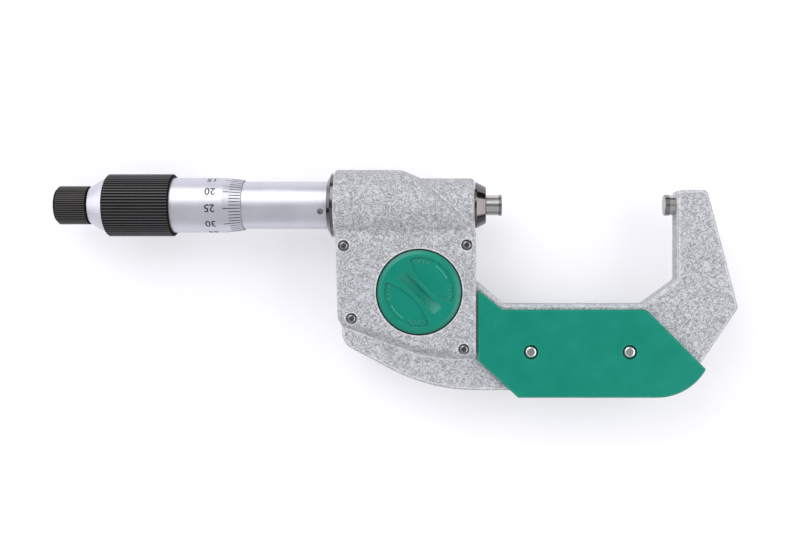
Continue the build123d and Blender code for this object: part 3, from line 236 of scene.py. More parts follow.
def grain_group():
    """Fine noise as a height, with a second layer about a quarter as fine mixed in."""
    group, given, end = new_group("Grain", {"Size": 2000.0, "Coarse": 0.3}, ("Height",))
    fine = noise(group, given["Vector"], given["Size"])
    coarse = noise(group, given["Vector"], maths(group, "MULTIPLY", given["Size"], 0.27))
    mix = put(group, "ShaderNodeMix", {0: given["Coarse"], 2: fine, 3: coarse}, data_type="FLOAT")
    feed(group, end, {"Height": mix.outputs[0]})
    return group


mottle = mottle_group()
grain = grain_group()
print("groups:", mottle.name, grain.name)

# %% [markdown]
# ** Lathe marks** run round a turned piece. Noise that is stretched very long round the axis and
# packed tight along it gives rings of slightly uneven depth. **Edge wear and highlight** compares
# the normal of a softened surface with the true one: they differ only beside an edge. The pale
# colour that it lays there is partly rubbed wear and partly a painted highlight, where edges catch
# the light.

# %% Lathe marks and rubbed edges
def lathe_group():
    """Rings round the X axis: noise read at (Rings x, Slow y, Slow z), so that it changes fast
    along the axis and hardly round it."""
    group, given, end = new_group("Lathe marks", {"Rings": 9000.0, "Slow": 60.0}, ("Height",))
    scale = put(group, "ShaderNodeCombineXYZ", {
        "X": given["Rings"], "Y": given["Slow"], "Z": given["Slow"]})
    packed = vectors(group, "MULTIPLY", given["Vector"], scale.outputs["Vector"])
    feed(group, end, {"Height": noise(group, packed, 1.0, detail=3.0)})
    return group


def edge_group():
    """A mask that is 1 beside a sharp edge and 0 on open surface: the dot product of softened and
    true normal, spread from 0.995 down to 0.90, times noise, times Amount."""
    group, given, end = new_group("Edge wear and highlight", {"Reach": 0.0003, "Amount": 0.5}, ("Mask",))
    # The mask carries a pale colour along edges: partly rubbed wear, partly a painted highlight.
    soft = put(group, "ShaderNodeBevel", {"Radius": given["Reach"]}, samples=4)
    sharp = put(group, "ShaderNodeNewGeometry", {})
    likeness = vectors(group, "DOT_PRODUCT", soft.outputs["Normal"], sharp.outputs["Normal"])
    broken = maths(group, "MULTIPLY", ramp(group, likeness, 0.995, 0.90),
                   noise(group, given["Vector"], 700.0))
    mask = maths(group, "MULTIPLY", broken, given["Amount"], use_clamp=True)
    feed(group, end, {"Mask": mask})
    return group


lathe = lathe_group()
edge_wear_and_highlight = edge_group()
print("groups:", lathe.name, edge_wear_and_highlight.name)

# %% [markdown]
# ## Finishes
# A finish starts from one Principled shader. Colour and gloss vary a little with the mottle, the
# bump comes from grain or lathe marks, and edges are lighter, partly from rubbed wear and partly
# from a painted highlight. Numbers that are the same all over are set on the shader's own sockets,
# because only what varies needs nodes.

# %% One function for plain finishes
patch_size = 120.0    # patches of the mottle per metre, so that one is about 8 mm wide


def rgb(red, green, blue):
    """A colour written as it looks on the screen, 0 to 255, turned into the linear values that
    a shader works with: below 0.04045 divided by 12.92, above it raised to the power 2.4."""
    value = np.array([red, green, blue]) / 255
    linear = np.where(value <= 0.04045, value / 12.92, ((value + 0.055) / 1.055) ** 2.4)
    return (*linear.tolist(), 1.0)


def new_material(name):
    """A material with its node tree, its shader and the socket of the object's coordinates."""
    material = bpy.data.materials.new(name)
    material.use_nodes = True
    tree = material.node_tree
    place = put(tree, "ShaderNodeTexCoord", {}).outputs["Object"]
    return material, tree, tree.nodes["Principled BSDF"], place


def use(tree, group, place, **values):
    """Place a group in a material, feed it the coordinates and its values, and give its outputs."""
    return put(tree, "ShaderNodeGroup", {"Vector": place, **values}, node_tree=group).outputs


def bumped(tree, height, depth):
    """The normal of a surface that rises by depth where the height is 1."""
    inputs = {"Strength": 1.0, "Distance": depth, "Height": height}
    return put(tree, "ShaderNodeBump", inputs).outputs["Normal"]


def finish(name, light, dark, gloss, metal=0.0, grain_size=4000.0, grain_depth=2e-6,
           turned=False, edge_wear_and_highlight_colour=None, edge_amount=0.6, specular=0.5):
    """A material whose colour runs from dark to light and whose roughness runs over gloss."""
    material, tree, shader, place = new_material(name)
    patches = use(tree, mottle, place, Size=patch_size, Low=gloss[0], High=gloss[1])
    colour = blend(tree, patches["Mask"], dark, light)
    # Edges get a pale colour: partly rubbed wear, partly a painted highlight.
    if edge_wear_and_highlight_colour is not None:
        edges = use(tree, edge_wear_and_highlight, place, Amount=edge_amount)
        colour = blend(tree, edges["Mask"], colour, edge_wear_and_highlight_colour)
    marks = use(tree, lathe, place) if turned else use(tree, grain, place, Size=grain_size)
    feed(tree, shader, {
        "Metallic": metal,
        "Specular IOR Level": specular,
        "Base Color": colour,
        "Roughness": patches["Value"],
        "Normal": bumped(tree, marks["Height"], grain_depth),
    })
    return material


# %% [markdown]
# The casting carries a wrinkle paint: pale grey and satin, with fine creases that wander between
# small pads about a millimetre wide. Its skin dries before its depth and shrinks into folds.
# Noise crosses its middle value along wandering lines, so the distance from that value is a map of
# creases: 0 on a line, rising beside it. It lowers the bump there and darkens the colour, which is
# painted shade in the creases.

# %% Wrinkle paint
def wrinkle_paint():
    """Pale satin paint: |n - 0.5| of bent noise n, spread over 0 to 0.09, is 0 in a crease and 1
    on a pad. It is the bump's height and runs the colour from the crease's grey to the pad's."""
    material, tree, shader, place = new_material("wrinkle_paint")
    folds = noise(tree, place, 900.0, detail=1.5, roughness=0.55, distortion=1.1)
    apart = maths(tree, "ABSOLUTE", maths(tree, "SUBTRACT", folds, 0.5))
    pads = ramp(tree, apart, 0.0, 0.09, kind="SMOOTHSTEP")
    # Painted shade: the creases' darker grey stands in for the shade that falls in the folds.
    crease_shaded_tint = blend(tree, pads, rgb(136, 138, 142), rgb(197, 199, 203))
    # Near-white along edges and the shoulder's rounded edges: a painted highlight, partly rubbed
    # wear.
    edges = use(tree, edge_wear_and_highlight, place, Reach=0.8 * MM, Amount=2.4)
    patches = use(tree, mottle, place, Size=60.0, Low=0.36, High=0.48)
    feed(tree, shader, {
        "Specular IOR Level": 0.4,
        "Base Color": blend(tree, edges["Mask"], crease_shaded_tint, rgb(232, 234, 238)),
        "Roughness": patches["Value"],
        "Normal": bumped(tree, pads, 0.07 * MM),
    })
    print("paint nodes:", len(tree.nodes))
    return material


# %% [markdown]
# The display window is clear acrylic. It keeps a plain transmission, and only its gloss varies.

# %% Clear window
def clear_window():
    """Clear plastic with the faintest haze where fingers touch it."""
    material, tree, shader, place = new_material("clear_window")
    haze = use(tree, mottle, place, Size=90.0, Low=0.01, High=0.04)
    feed(tree, shader, {
        "Transmission Weight": 1.0,
        "IOR": 1.49,
        "Base Color": rgb(250, 252, 252),
        "Roughness": haze["Value"],
    })
    return material


# %% [markdown]
# The remaining finishes share one function. Colours are written as they look in plain light: first
# the light one, then the dark one, then the least and the greatest roughness.

# %% All finishes by their slot
finishes = {
    "cast_paint": wrinkle_paint(),
    "satin_steel": finish("satin_chrome", rgb(212, 213, 221), rgb(204, 205, 214), (0.42, 0.47),
                          metal=1.0, grain_depth=4e-7, turned=True),
    "ground_steel": finish("ground_steel", rgb(196, 193, 192), rgb(184, 181, 180), (0.20, 0.28),
                           metal=1.0, grain_depth=6e-7, turned=True),
    "hard_metal": finish("hard_metal", rgb(150, 147, 147), rgb(138, 136, 136), (0.16, 0.24),
                         metal=1.0, grain_depth=5e-7, turned=True),
    "black_chrome": finish("black_chrome", rgb(118, 112, 113), rgb(110, 104, 106), (0.10, 0.18),
                           metal=1.0, grain_depth=3e-7, turned=True),
    # The green plastic's pale edges are a painted highlight along rims and the edges of the fields.
    "green_plastic": finish("green_plastic", rgb(14, 134, 114), rgb(12, 128, 108), (0.20, 0.28),
                            grain_size=5000.0, grain_depth=5e-6, edge_wear_and_highlight_colour=rgb(96, 178, 158),
                            edge_amount=0.9, specular=0.35),
    "black_plastic": finish("black_plastic", rgb(26, 26, 28), rgb(20, 20, 22), (0.35, 0.45),
                            grain_depth=4e-6),
    "black_grip": finish("black_rubber", rgb(8, 7, 8), rgb(5, 5, 6), (0.24, 0.32),
                         grain_depth=3e-6, specular=0.22),
    "cover_plastic": finish("cover_plastic", rgb(176, 180, 184), rgb(168, 172, 176), (0.40, 0.50),
                            grain_size=3500.0, grain_depth=9e-6, edge_wear_and_highlight_colour=rgb(200, 204, 206)),
    "window_clear": clear_window(),
    "display_glass": finish("display_glass", rgb(186, 194, 180), rgb(178, 187, 172), (0.25, 0.30)),
    "button_rubber": finish("key_rubber", rgb(58, 60, 64), rgb(50, 52, 56), (0.50, 0.60),
                            grain_depth=6e-6),
    "button_accent": finish("key_rubber_green", rgb(30, 132, 114), rgb(26, 122, 106), (0.50, 0.60),
                            grain_depth=6e-6),
    "circuit_board": finish("circuit_board", rgb(34, 96, 62), rgb(26, 84, 54), (0.30, 0.40)),
    "brass_metal": finish("brass_metal", rgb(214, 186, 120), rgb(200, 170, 104), (0.24, 0.32),
                          metal=1.0, turned=True),
    # The screw heads' pale edges are a painted highlight.
    "black_screw": finish("black_screw", rgb(150, 150, 152), rgb(138, 138, 141), (0.14, 0.20),
                          metal=1.0, edge_wear_and_highlight_colour=rgb(200, 200, 200)),
    "bright_screw": finish("bright_screw", rgb(226, 226, 228), rgb(214, 214, 217), (0.16, 0.24),
                           metal=1.0),
    "seal_rubber": finish("seal_rubber", rgb(28, 28, 29), rgb(22, 22, 23), (0.55, 0.65)),
    "felt_ring": finish("felt_ring", rgb(190, 184, 170), rgb(150, 144, 132), (0.85, 0.95),
                        grain_size=6000.0, grain_depth=3e-5),
    "battery_can": finish("battery_can", rgb(222, 223, 225), rgb(210, 211, 214), (0.18, 0.26),
                          metal=1.0),
}
for part in frame["record"]["subparts"]:
    for filled in nodes[part["node"]].material_slots:
        filled.material = finishes[part["material_slot"]]
print("finishes:", len(finishes))

# %% [markdown]
# Grip and ratchet knob are black and ribbed. Fingers polish the tops of the ribs, so they are
# glossier than the dull grooves, and a painted highlight makes each rib top a thin pale line. The
# distance from
# the X axis tells top from groove: it is the root of y squared plus z squared of the object's
# coordinates.

# %% Polished ribs
# How far down a rib the polish and the painted highlight reach.
top_share = 0.35       # how far down a rib its polish reaches
groove_gloss = 0.85


def ribbed_group():
    """A mask that rises from 0 to 1 while the distance from the X axis goes from Groove to Top."""
    group, given, end = new_group("Ribs", {"Groove": 0.009, "Top": 0.01}, ("Mask",))
    distance = vectors(group, "LENGTH",
                       vectors(group, "MULTIPLY", given["Vector"], (0.0, 1.0, 1.0)))
    mask = ramp(group, distance, given["Groove"], given["Top"], kind="SMOOTHSTEP")
    feed(group, end, {"Mask": mask})
    return group


ribs = ribbed_group()


def rib_finish(name, outer, depth, top_highlight_colour):
    """Black rubber with polished rib tops: colour and gloss follow the mask of the ribs."""
    material = finishes["black_grip"].copy()
    material.name = name
    tree = material.node_tree
    shader = tree.nodes["Principled BSDF"]
    groove_colour = shader.inputs["Base Color"].links[0].from_socket
    top_gloss = shader.inputs["Roughness"].links[0].from_socket
    place = next(node for node in tree.nodes if node.type == "TEX_COORD").outputs["Object"]
    tops = use(tree, ribs, place, Groove=outer - top_share * depth, Top=outer)["Mask"]
    # The rib tops' paler colour is a painted highlight, and their lower roughness is the polish.
    feed(tree, shader, {
        "Base Color": blend(tree, tops, groove_colour, top_highlight_colour),
        "Roughness": ramp(tree, tops, 0.0, 1.0, groove_gloss, top_gloss),
    })
    return material


for node, name, depth, top_highlight_colour in (
    ("thimble_grip", "grip_ribs", 0.3 * MM, rgb(72, 70, 72)),
    ("ratchet_knob", "knob_ribs", 0.22 * MM, rgb(78, 76, 74)),
):
    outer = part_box(node)[1][1]
    for filled in nodes[node].material_slots:
        filled.material = rib_finish(name, outer, depth, top_highlight_colour)
    print(name, "outer radius", round(outer / MM, 2), "mm")

# %% [markdown]
# Four inks are printed or filled in: black for the scales, a softer black for the display's
# segments, white for the key signs and dark grey for the window's mask. Even an ink has a little
# unevenness.

# %% Inks
scale_ink = finish("scale_ink", rgb(40, 36, 40), rgb(30, 27, 30), (0.45, 0.60), grain_depth=2e-6)
segment_ink = finish("segment_ink", rgb(38, 42, 38), rgb(32, 36, 32), (0.30, 0.40))
sign_ink = finish("sign_ink", rgb(226, 228, 228), rgb(214, 216, 216), (0.45, 0.55),
                  grain_depth=3e-6)
mask_ink = finish("mask_ink", rgb(44, 46, 50), rgb(38, 40, 44), (0.30, 0.40))
print("inks:", scale_ink.name, segment_ink.name, sign_ink.name, mask_ink.name)

# %% [markdown]
# ## The thimble's scale
# Fifty lines run round the bevel, every fifth one longer, and a number stands behind each long
# line. One turn of the thimble moves the spindle half a millimetre, so a step is 0.01 mm.
# A line on a cone is straight, so four corners at two radii make it, and the radius at any X
# on the bevel is a straight ramp from the edge's radius to the thimble's.

# %% Fifty lines on the bevel
def bevel_radius(x):
    """Radius of the bevel at x: a ramp over its length, level behind it."""
    share = np.clip((thimble_edge - x) / bevel_length, 0.0, 1.0)
    return edge_radius + share * (thimble_radius - edge_radius)


def thimble_lines():
    """Fifty thin bars along the cone, with the fifth ones longer: a corner at x stands at
    half the line's width over the radius there, to both sides of the line's own turn."""
    half = 0.12 * MM
    proud = 0.012 * MM
    depth = 0.05 * MM
    number = np.arange(line_count)
    turn = zero_turn + number * line_step
    start = np.full(line_count, thimble_edge - 0.12 * MM)
    end = thimble_edge - np.where(number % 5 == 0, 5.25, 3.5) * MM
    corners = []
    for x, side in ((start, -1), (end, -1), (end, 1), (start, 1)):
        radius = bevel_radius(x) + proud
        corners.append(round_the_axis(x, radius, turn + side * half / radius))
    inward = round_the_axis(np.zeros(line_count), depth, turn)[:, None, :]
    return bars(np.stack(corners, axis=1), inward)


new_piece("thimble_scale", *thimble_lines(), "spindle", scale_ink)

# %% [markdown]
# ## Letters and numbers
# A font's outline is quick to get from a text object, but text is flat. So the text becomes a mesh,
# is cut into narrow bands, and then each point is moved by a formula: round the axis for the
# thimble and sleeve, along an arc on the battery cap, or flat on the display side.

# %% From text to points
cap_height = 0.73      # of a capital in this font, where the line's height is 1


def letters(words, height, thickness, bands=0, spacing=1.0, bolder=0.0):
    """A mesh of words, lying flat: u runs with the reading direction and is centred, v is up from
    the baseline to the given height, and w from 0 to the thickness. It is cut at as many levels
    as bands says, and a negative bolder makes the strokes finer."""
    curve = bpy.data.curves.new("words", "FONT")
    curve.body = words
    curve.align_x = "CENTER"
    curve.extrude = 0.5
    curve.resolution_u = 4
    curve.space_character = spacing
    curve.offset = bolder
    holder = bpy.data.objects.new("words", curve)
    bpy.context.scene.collection.objects.link(holder)
    bpy.context.view_layer.update()
    evaluated = holder.evaluated_get(bpy.context.evaluated_depsgraph_get())
    mesh = bpy.data.meshes.new_from_object(evaluated)
    shape = bmesh.new()
    shape.from_mesh(mesh)
    bmesh.ops.remove_doubles(shape, verts=shape.verts, dist=1e-5)
    for level in np.linspace(0.0, 0.75, bands + 2)[1:-1]:
        bmesh.ops.bisect_plane(shape, geom=shape.verts[:] + shape.edges[:] + shape.faces[:],
                               plane_co=(0, float(level), 0), plane_no=(0, 1, 0))
    shape.to_mesh(mesh)
    shape.free()
    flat = np.empty(len(mesh.vertices) * 3)
    mesh.vertices.foreach_get("co", flat)
    flat = flat.reshape(-1, 3)
    scale = height / cap_height
    flat = flat * (scale, scale, thickness) + (0, 0, thickness / 2)
    faces = [tuple(face.vertices) for face in mesh.polygons]
    bpy.data.objects.remove(holder)
    bpy.data.meshes.remove(mesh)
    bpy.data.curves.remove(curve)
    return flat, faces


# %% [markdown]
# The numbers run round the thimble behind the lines. Seen from the back they stand upside down:
# the user reads them from the display side, with the anvil to the left.

# %% Numbers on the thimble
thimble_number_height = 2.45 * MM
thimble_number_x = thimble_edge - 9.2 * MM


def wrapped(words, height, x, turn, radius):
    """Words round the axis: u runs towards -X, v over the radius adds to the turn."""
    flat, faces = letters(words, height, 2 * print_sink, bands=7, bolder=0.012)
    angle = turn + (flat[:, 1] - height / 2) / radius
    return round_the_axis(x - flat[:, 0], radius - print_sink + flat[:, 2], angle), faces


parts = []
for number in range(0, line_count, 5):
    turn = zero_turn + number * line_step
    parts.append(wrapped(
        str(number), thimble_number_height, thimble_number_x, turn, thimble_radius))
new_piece("thimble_numbers", *gathered(parts), "spindle", scale_ink)

# %% [markdown]
# ## The sleeve's scale
# The fixed sleeve carries the index line, a line for each millimetre above it and one for each
# half millimetre below it. The thimble's edge uncovers it from 25 to 50 mm. It faces the display
# side, so it doesn't show in the photograph.

# %% Lines and numbers on the sleeve
def sleeve_lines():
    """The index line, 26 long or middle lines above it and 25 half lines below it, as bars. A line
    of length l spans the angle l over the radius, in four steps."""
    half = 0.07 * MM
    radius = sleeve_radius + 0.015 * MM
    value = np.concatenate([np.arange(25, 51), np.arange(25, 50) + 0.5])
    x = thimble_edge + (50 - value) * MM
    whole = value == np.round(value)
    fifth = whole & (np.round(value) % 5 == 0)
    length = np.where(fifth, 2.3, np.where(whole, 1.6, -1.6)) * MM
    turn = zero_turn + np.linspace(0, 1, 5)[:, None] * length / sleeve_radius
    strips = []
    for low, high in zip(turn[:-1], turn[1:]):
        ends = ((x - half, low), (x + half, low), (x + half, high), (x - half, high))
        strips.append(np.stack([round_the_axis(at, radius, angle) for at, angle in ends], axis=1))
    start = thimble_edge - 4 * MM
    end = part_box("outer_sleeve")[1][0] - 0.4 * MM
    side = half / sleeve_radius
    index = round_the_axis(np.array([start, end, end, start]), radius,
                           zero_turn + np.array([-side, -side, side, side]))
    corners = np.concatenate(strips + [index[None]])
    outward = corners.mean(axis=1) * (0, 1, 1)
    outward /= np.linalg.norm(outward, axis=1, keepdims=True)
    return bars(corners, 0.03 * MM * outward[:, None, :])


sleeve_number_height = 1.9 * MM
sleeve_number_turn = zero_turn + 4.0 * MM / sleeve_radius      # above the long lines
new_piece("sleeve_scale", *sleeve_lines(), "frame", scale_ink)
parts = []
for value in range(25, 51, 5):
    x = thimble_edge + (50 - value) * MM
    parts.append(wrapped(
        str(value), sleeve_number_height, x, sleeve_number_turn, sleeve_radius))
new_piece("sleeve_numbers", *gathered(parts), "frame", scale_ink)

# %% [markdown]
# ## Words on the battery cap
# OPEN and CLOSE stand raised on the floor of both sunk fields and follow the cap's rim, with a
# double arrow between them. They are the cap's own plastic, made a shade lighter as a painted
# highlight on the raised marks.
# A point at (u, v) of the flat word goes to the angle minus u over the radius, which reads
# clockwise, at the radius plus v.

# %% Raised words and arrows
baseline = 8.7 * MM
arrow_radius = 9.3 * MM
letter_height = 1.3 * MM
raised = 0.2 * MM


def round_the_bay(reach, angle, z):
    """Points at distance reach from the bay's axis, at an angle from +X towards +Y."""
    x = bay_centre[0] + reach * np.cos(angle)
    y = bay_centre[1] + reach * np.sin(angle)
    return np.stack([x, y, np.broadcast_to(z, x.shape)], axis=-1)


def arc_word(words, middle):
    """A word bent clockwise round the bay's axis, with tops outward."""
    flat, faces = letters(words, letter_height, raised, spacing=1.12, bolder=-0.02)
    z = field_floor - print_sink + flat[:, 2]
    return round_the_bay(baseline + flat[:, 1], middle - flat[:, 0] / baseline, z), faces


def arc_arrow(low, high, width):
    """A bar that follows an arc, with a pointed head at both ends: its half width is constant
    along the shaft, jumps to the head's width and shrinks to nothing at the tip."""
    steps = 14
    head = 0.9 * MM / arrow_radius
    shaft = np.linspace(low + head, high - head, steps)
    angle = np.concatenate([[low, low + head], shaft, [high - head, high]])
    half = np.concatenate([[0.01, 1.9], np.ones(steps), [1.9, 0.01]]) * width / 2
    under = field_floor - print_sink
    points = np.stack([
        round_the_bay(arrow_radius + side * half, angle, z)
        for side, z in ((-1, under), (1, under), (1, under + raised), (-1, under + raised))
    ], axis=1).reshape(-1, 3)
    last = len(points) - 4
    caps = [(3, 2, 1, 0), (last, last + 1, last + 2, last + 3)]
    return points, skin(len(angle), 4) + caps


parts = []
for half_turn in (0, 180):
    parts.append(arc_word("OPEN", math.radians(84.5 + half_turn)))
    parts.append(arc_word("CLOSE", math.radians(-4 + half_turn)))
    parts.append(arc_arrow(math.radians(24 + half_turn), math.radians(60 + half_turn), 0.22 * MM))
# Painted highlight: the raised words and arrows are a paler green than the cap.
word_highlight_finish = finish("green_words", rgb(88, 182, 160), rgb(80, 174, 152), (0.20, 0.28),
                     grain_size=5000.0, grain_depth=5e-6)
new_piece("cap_words", *gathered(parts), "battery_cap", word_highlight_finish, "green_plastic")

# %% [markdown]
# ## Display and keys
# The display side shows the reading with the spindle drawn right back, 50.000 mm, in seven-segment
# digits. Every segment is a hexagonal bar. A digit is the set of segments that it lights.

# %% Seven-segment reading
segment_ends = {       # from and to, in widths to the right and half heights up
    "a": (0, 2, 1, 2), "b": (1, 1, 1, 2), "c": (1, 0, 1, 1), "d": (0, 0, 1, 0),
    "e": (0, 0, 0, 1), "f": (0, 1, 0, 2), "g": (0, 1, 1, 1),
}
lit_segments = {"0": "abcdef", "5": "acdfg"}


def flat_front(flat, x, y, z):
    """Place flat points on the display side: u runs towards -X and w towards -Z."""
    return np.stack([x - flat[:, 0], y + flat[:, 1], z - flat[:, 2]], axis=1)


def prism(outline, thickness):
    """A flat outline made into a solid that reaches from 0 to the thickness."""
    count = len(outline)
    low = np.column_stack([outline, np.zeros(count)])
    high = np.column_stack([outline, np.full(count, thickness)])
    caps = [tuple(range(count, 2 * count)), tuple(range(count - 1, -1, -1))]
    return np.concatenate([low, high]), caps + skin(2, count)


def segment(start, stop, stroke, gap):
    """The outline of a bar with a point at both ends, each a gap away from the given corner."""
    along = (stop - start) / np.linalg.norm(stop - start)
    across = np.array([-along[1], along[0]]) * stroke / 2
    tip = along * stroke / 2
    start, stop = start + along * gap, stop - along * gap
    return np.array([start, start + tip - across, stop - tip - across,
                     stop, stop - tip + across, start + tip + across])


def segment_digits(text, height, pitch, thickness):
    """Solid bars for each lit segment, centred as one row of digits and points. Each point of
    an outline moves right by 0.08 of its height, so that the digits lean."""
    width = height * 0.48
    stroke = height * 0.10
    gap = height * 0.012
    square = np.array([[-1, -1], [1, -1], [1, 1], [-1, 1]]) * stroke * 0.45
    outlines = []
    place = 0.0
    for letter in text:
        if letter == ".":
            outlines.append(square + (place + (width - pitch) / 2, 0))
            continue
        for name in lit_segments[letter]:
            ends = np.reshape(segment_ends[name], (2, 2)) * (width, height / 2) + (place, 0)
            outlines.append(segment(ends[0], ends[1], stroke, gap))
        place += pitch
    points, faces = gathered([
        prism(outline + outline[:, 1:] * (0.08, 0), thickness) for outline in outlines])
    points[:, 0] -= (points[:, 0].min() + points[:, 0].max()) / 2
    points[:, 1] -= height / 2
    return points, faces


window_x, window_y = window_box.mean(axis=0)[:2]
digits, faces = segment_digits("50.000", 6.2 * MM, 4.55 * MM, 0.02 * MM)
unit, unit_faces = letters("mm", 1.4 * MM, 0.02 * MM)
new_piece("display_reading", *gathered([
    (flat_front(digits, window_x + 1.9 * MM, window_y - 0.2 * MM, lcd_face), faces),
    (flat_front(unit, window_x - 11.2 * MM, window_y - 3.2 * MM, lcd_face), unit_faces),
]), "frame", segment_ink)

# %% [markdown]
# A dark mask is printed on the back of the window, so that only the lit field shows. It is a
# rounded frame: the inner corner points are the outer ones on a smaller rounded rectangle.

# %% Window mask
def rounded_ring(length, width, corner, count=8):
    """Points of a rounded rectangle: a quarter circle at each corner, taken in turn."""
    turn = np.linspace(0, math.pi / 2, count)
    rings = []
    for number, (sx, sy) in enumerate(((1, 1), (-1, 1), (-1, -1), (1, -1))):
        angle = turn + number * math.pi / 2
        rings.append(np.stack([
            sx * (length / 2 - corner) + corner * np.cos(angle),
            sy * (width / 2 - corner) + corner * np.sin(angle),
        ], axis=1))
    return np.concatenate(rings)


def ring_solid(outer, inner, thickness):
    """A flat ring between two outlines of equal count, with a small thickness."""
    count = len(outer)
    rows = ((outer, 0.0), (inner, 0.0), (inner, thickness), (outer, thickness))
    points = np.concatenate([np.column_stack([row, np.full(count, z)]) for row, z in rows])
    return points, skin(4, count, closed=True)


length, width = (window_box[1] - window_box[0])[:2]
outer_ring = rounded_ring(length - 0.1 * MM, width - 0.1 * MM, 0.95 * MM)
inner_ring = rounded_ring(length - 3.4 * MM, width - 3.4 * MM, 0.8 * MM)
flat, faces = ring_solid(outer_ring, inner_ring, 0.02 * MM)
placed = flat_front(flat, window_x, window_y, window_box[1][2] + 0.035 * MM)
new_piece("window_mask", placed, faces, "frame", mask_ink)

# %% [markdown]
# The three keys carry short printed signs, one mesh for each, so that every sign moves with its
# key.

# %% Signs on the keys
for key, words in (("button_zero", "ZERO"), ("button_unit", "mm/in"), ("button_power", "ON/OFF")):
    box = np.array(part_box(key))
    x, y = box.mean(axis=0)[:2]
    flat, faces = letters(words, 1.15 * MM, 0.03 * MM, spacing=1.05)
    placed = flat_front(flat, x, y - 0.55 * MM, box[0][2] + 0.01 * MM)
    new_piece(key + "_sign", placed, faces, key, sign_ink, "cover_plastic")

# %% [markdown]
# ## Floor, light and camera
# The instrument lies on white paper. The floor is a plain plane at the height of the display side.
# Where the camera or a reflection looks at it, it glows a little as well, so that it comes out
# white while the instrument's soft shadow stays on it. The lamps themselves stay at a plain level.

# %% White floor
def floor_paper():
    """Diffuse white paper with some light of its own, seen by camera, gloss and glass only."""
    material, tree, shader, place = new_material("floor_paper")
    fibres = use(tree, mottle, place, Size=18.0, Low=0.0, High=1.0)
    rays = put(tree, "ShaderNodeLightPath", {}).outputs
    seen = maths(tree, "MAXIMUM", rays["Is Camera Ray"], rays["Is Glossy Ray"])
    seen = maths(tree, "MAXIMUM", seen, rays["Is Transmission Ray"])
    feed(tree, shader, {
        "Roughness": 0.9,
        "Specular IOR Level": 0.0,
        "Base Color": blend(tree, fibres["Mask"], rgb(200, 199, 203), rgb(203, 202, 206)),
        "Emission Color": (0.97, 0.965, 1.0, 1.0),
        "Emission Strength": maths(tree, "MULTIPLY", seen, 0.455),
    })
    return material


reach = 4.0            # metres from the middle to each side
corners = [(x * reach, y * reach, display_face) for x, y in ((-1, -1), (1, -1), (1, 1), (-1, 1))]
floor_mesh = bpy.data.meshes.new("floor")
floor_mesh.from_pydata(corners, [], [(0, 1, 2, 3)])
floor_mesh.materials.append(floor_paper())
floor = bpy.data.objects.new("floor", floor_mesh)
bpy.context.scene.collection.objects.link(floor)
print("floor at Z", round(display_face / MM, 2), "mm")

# %% [markdown]
# Shiny pieces tell where the studio's lamps were, as a mirror shows what lies at twice its angle.
# The bright band along thimble and sleeve spans surface angles of about 9 to 34 degrees and ends
# before the thimble's bevel, which looks a little to the right: so one softbox hangs behind on the
# left. The nose ring and the right side of the battery cap's rim both look to the right and are
# bright, so a second one stands there. The dark bands on the nose ring, just beside its bright
# middle, look at the room near the floor. Flat green plastic keeps its full colour, so it is dim
# straight overhead, where the camera hangs. All else is a pale tent, brighter on the left.

# %% Softboxes
focus = np.array([-81.4, -18.9, 0.0]) * MM     # the middle of what the camera sees


def panel(name, place, width, height, radiance):
    """A flat lamp at place, turned towards the focus. A flat lamp of area A that shines with the
    radiance L gives a power of pi times A times L."""
    data = bpy.data.lights.new(name, "AREA")
    data.shape = "RECTANGLE"
    data.size = width
    data.size_y = height
    data.energy = math.pi * width * height * radiance
    lamp = bpy.data.objects.new(name, data)
    lamp.location = focus + place
    lamp.rotation_euler = (-Vector(place)).to_track_quat("-Z", "Y").to_euler()
    bpy.context.scene.collection.objects.link(lamp)
    print(name, "power", round(data.energy, 2))


panel("softbox_left", (-0.22, 0.44, 0.44), width=0.44, height=0.62, radiance=2.0)
panel("softbox_right", (0.58, -0.06, 0.38), width=0.90, height=0.45, radiance=2.0)

# %% [markdown]
# The world stands for the tent. Its texture coordinate is the direction of sight, so its parts
# tell how high, how far right and how far back one looks. Three ramps are multiplied: dark near
# the floor (higher up at the back right), dim round the zenith, and brighter at the back left,
# which whitens the upper half of the thimble's rear cone.

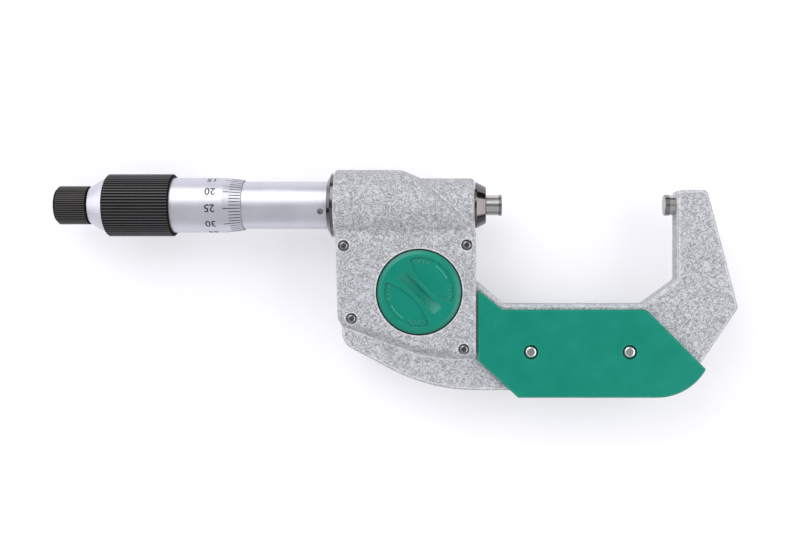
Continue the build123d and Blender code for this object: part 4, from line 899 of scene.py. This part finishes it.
# %% Tent
world = bpy.data.worlds.new("pale_tent")
world.use_nodes = True
tent = world.node_tree
sight = put(tent, "ShaderNodeTexCoord", {}).outputs["Generated"]
height = put(tent, "ShaderNodeSeparateXYZ", {0: sight}).outputs["Z"]
rise = vectors(tent, "DOT_PRODUCT", sight, (-0.2, -0.2, 1.0))
back_left = vectors(tent, "DOT_PRODUCT", sight, (-0.85, 0.5, 0.0))
floor_dark = ramp(tent, rise, 0.08, 0.22, 0.05, 0.66, kind="SMOOTHSTEP")
zenith_dark = ramp(tent, height, 0.955, 0.99, 1.0, 0.25, kind="SMOOTHSTEP")
left_bright = ramp(tent, back_left, 0.5, 0.9, 1.0, 3.2, kind="SMOOTHSTEP")
strength = maths(tent, "MULTIPLY", maths(tent, "MULTIPLY", floor_dark, zenith_dark), left_bright)
feed(tent, tent.nodes["Background"], {"Color": (0.985, 0.98, 1.0, 1.0), "Strength": strength})
bpy.context.scene.world = world
print("tent nodes:", len(tent.nodes))

# %% [markdown]
# The photograph looks straight down on the back, and the size of near and far edges tells that the
# lens was about 36 cm above the spindle's axis. It is a crop: the lens did not stand over the
# middle of the picture but a little to the right and above it. A shift of the lens gives that
# view without tilting the camera, so that upright walls keep their true slant.

# %% Camera
camera_data = bpy.data.cameras.new("camera")
camera_data.sensor_width = 36.0
camera_height = 360.0 * MM
view_width = 800 / 3.24 * MM       # 800 pixels, of which 3.24 are a millimetre
camera_data.lens = camera_data.sensor_width * camera_height / view_width
lens_place = np.array([-61.0, -10.0]) * MM
view_middle = np.array([-81.36, -18.9]) * MM
camera_data.shift_x, camera_data.shift_y = ((view_middle - lens_place) / view_width).tolist()
camera_data.clip_start = 0.01
camera = bpy.data.objects.new("camera", camera_data)
camera.location = (lens_place[0], lens_place[1], camera_height)
camera.rotation_euler = (0.0, 0.0, 0.0)
bpy.context.scene.collection.objects.link(camera)
bpy.context.scene.camera = camera
bpy.context.scene.view_settings.view_transform = "Standard"
print("camera at", tuple(round(value, 4) for value in camera.location))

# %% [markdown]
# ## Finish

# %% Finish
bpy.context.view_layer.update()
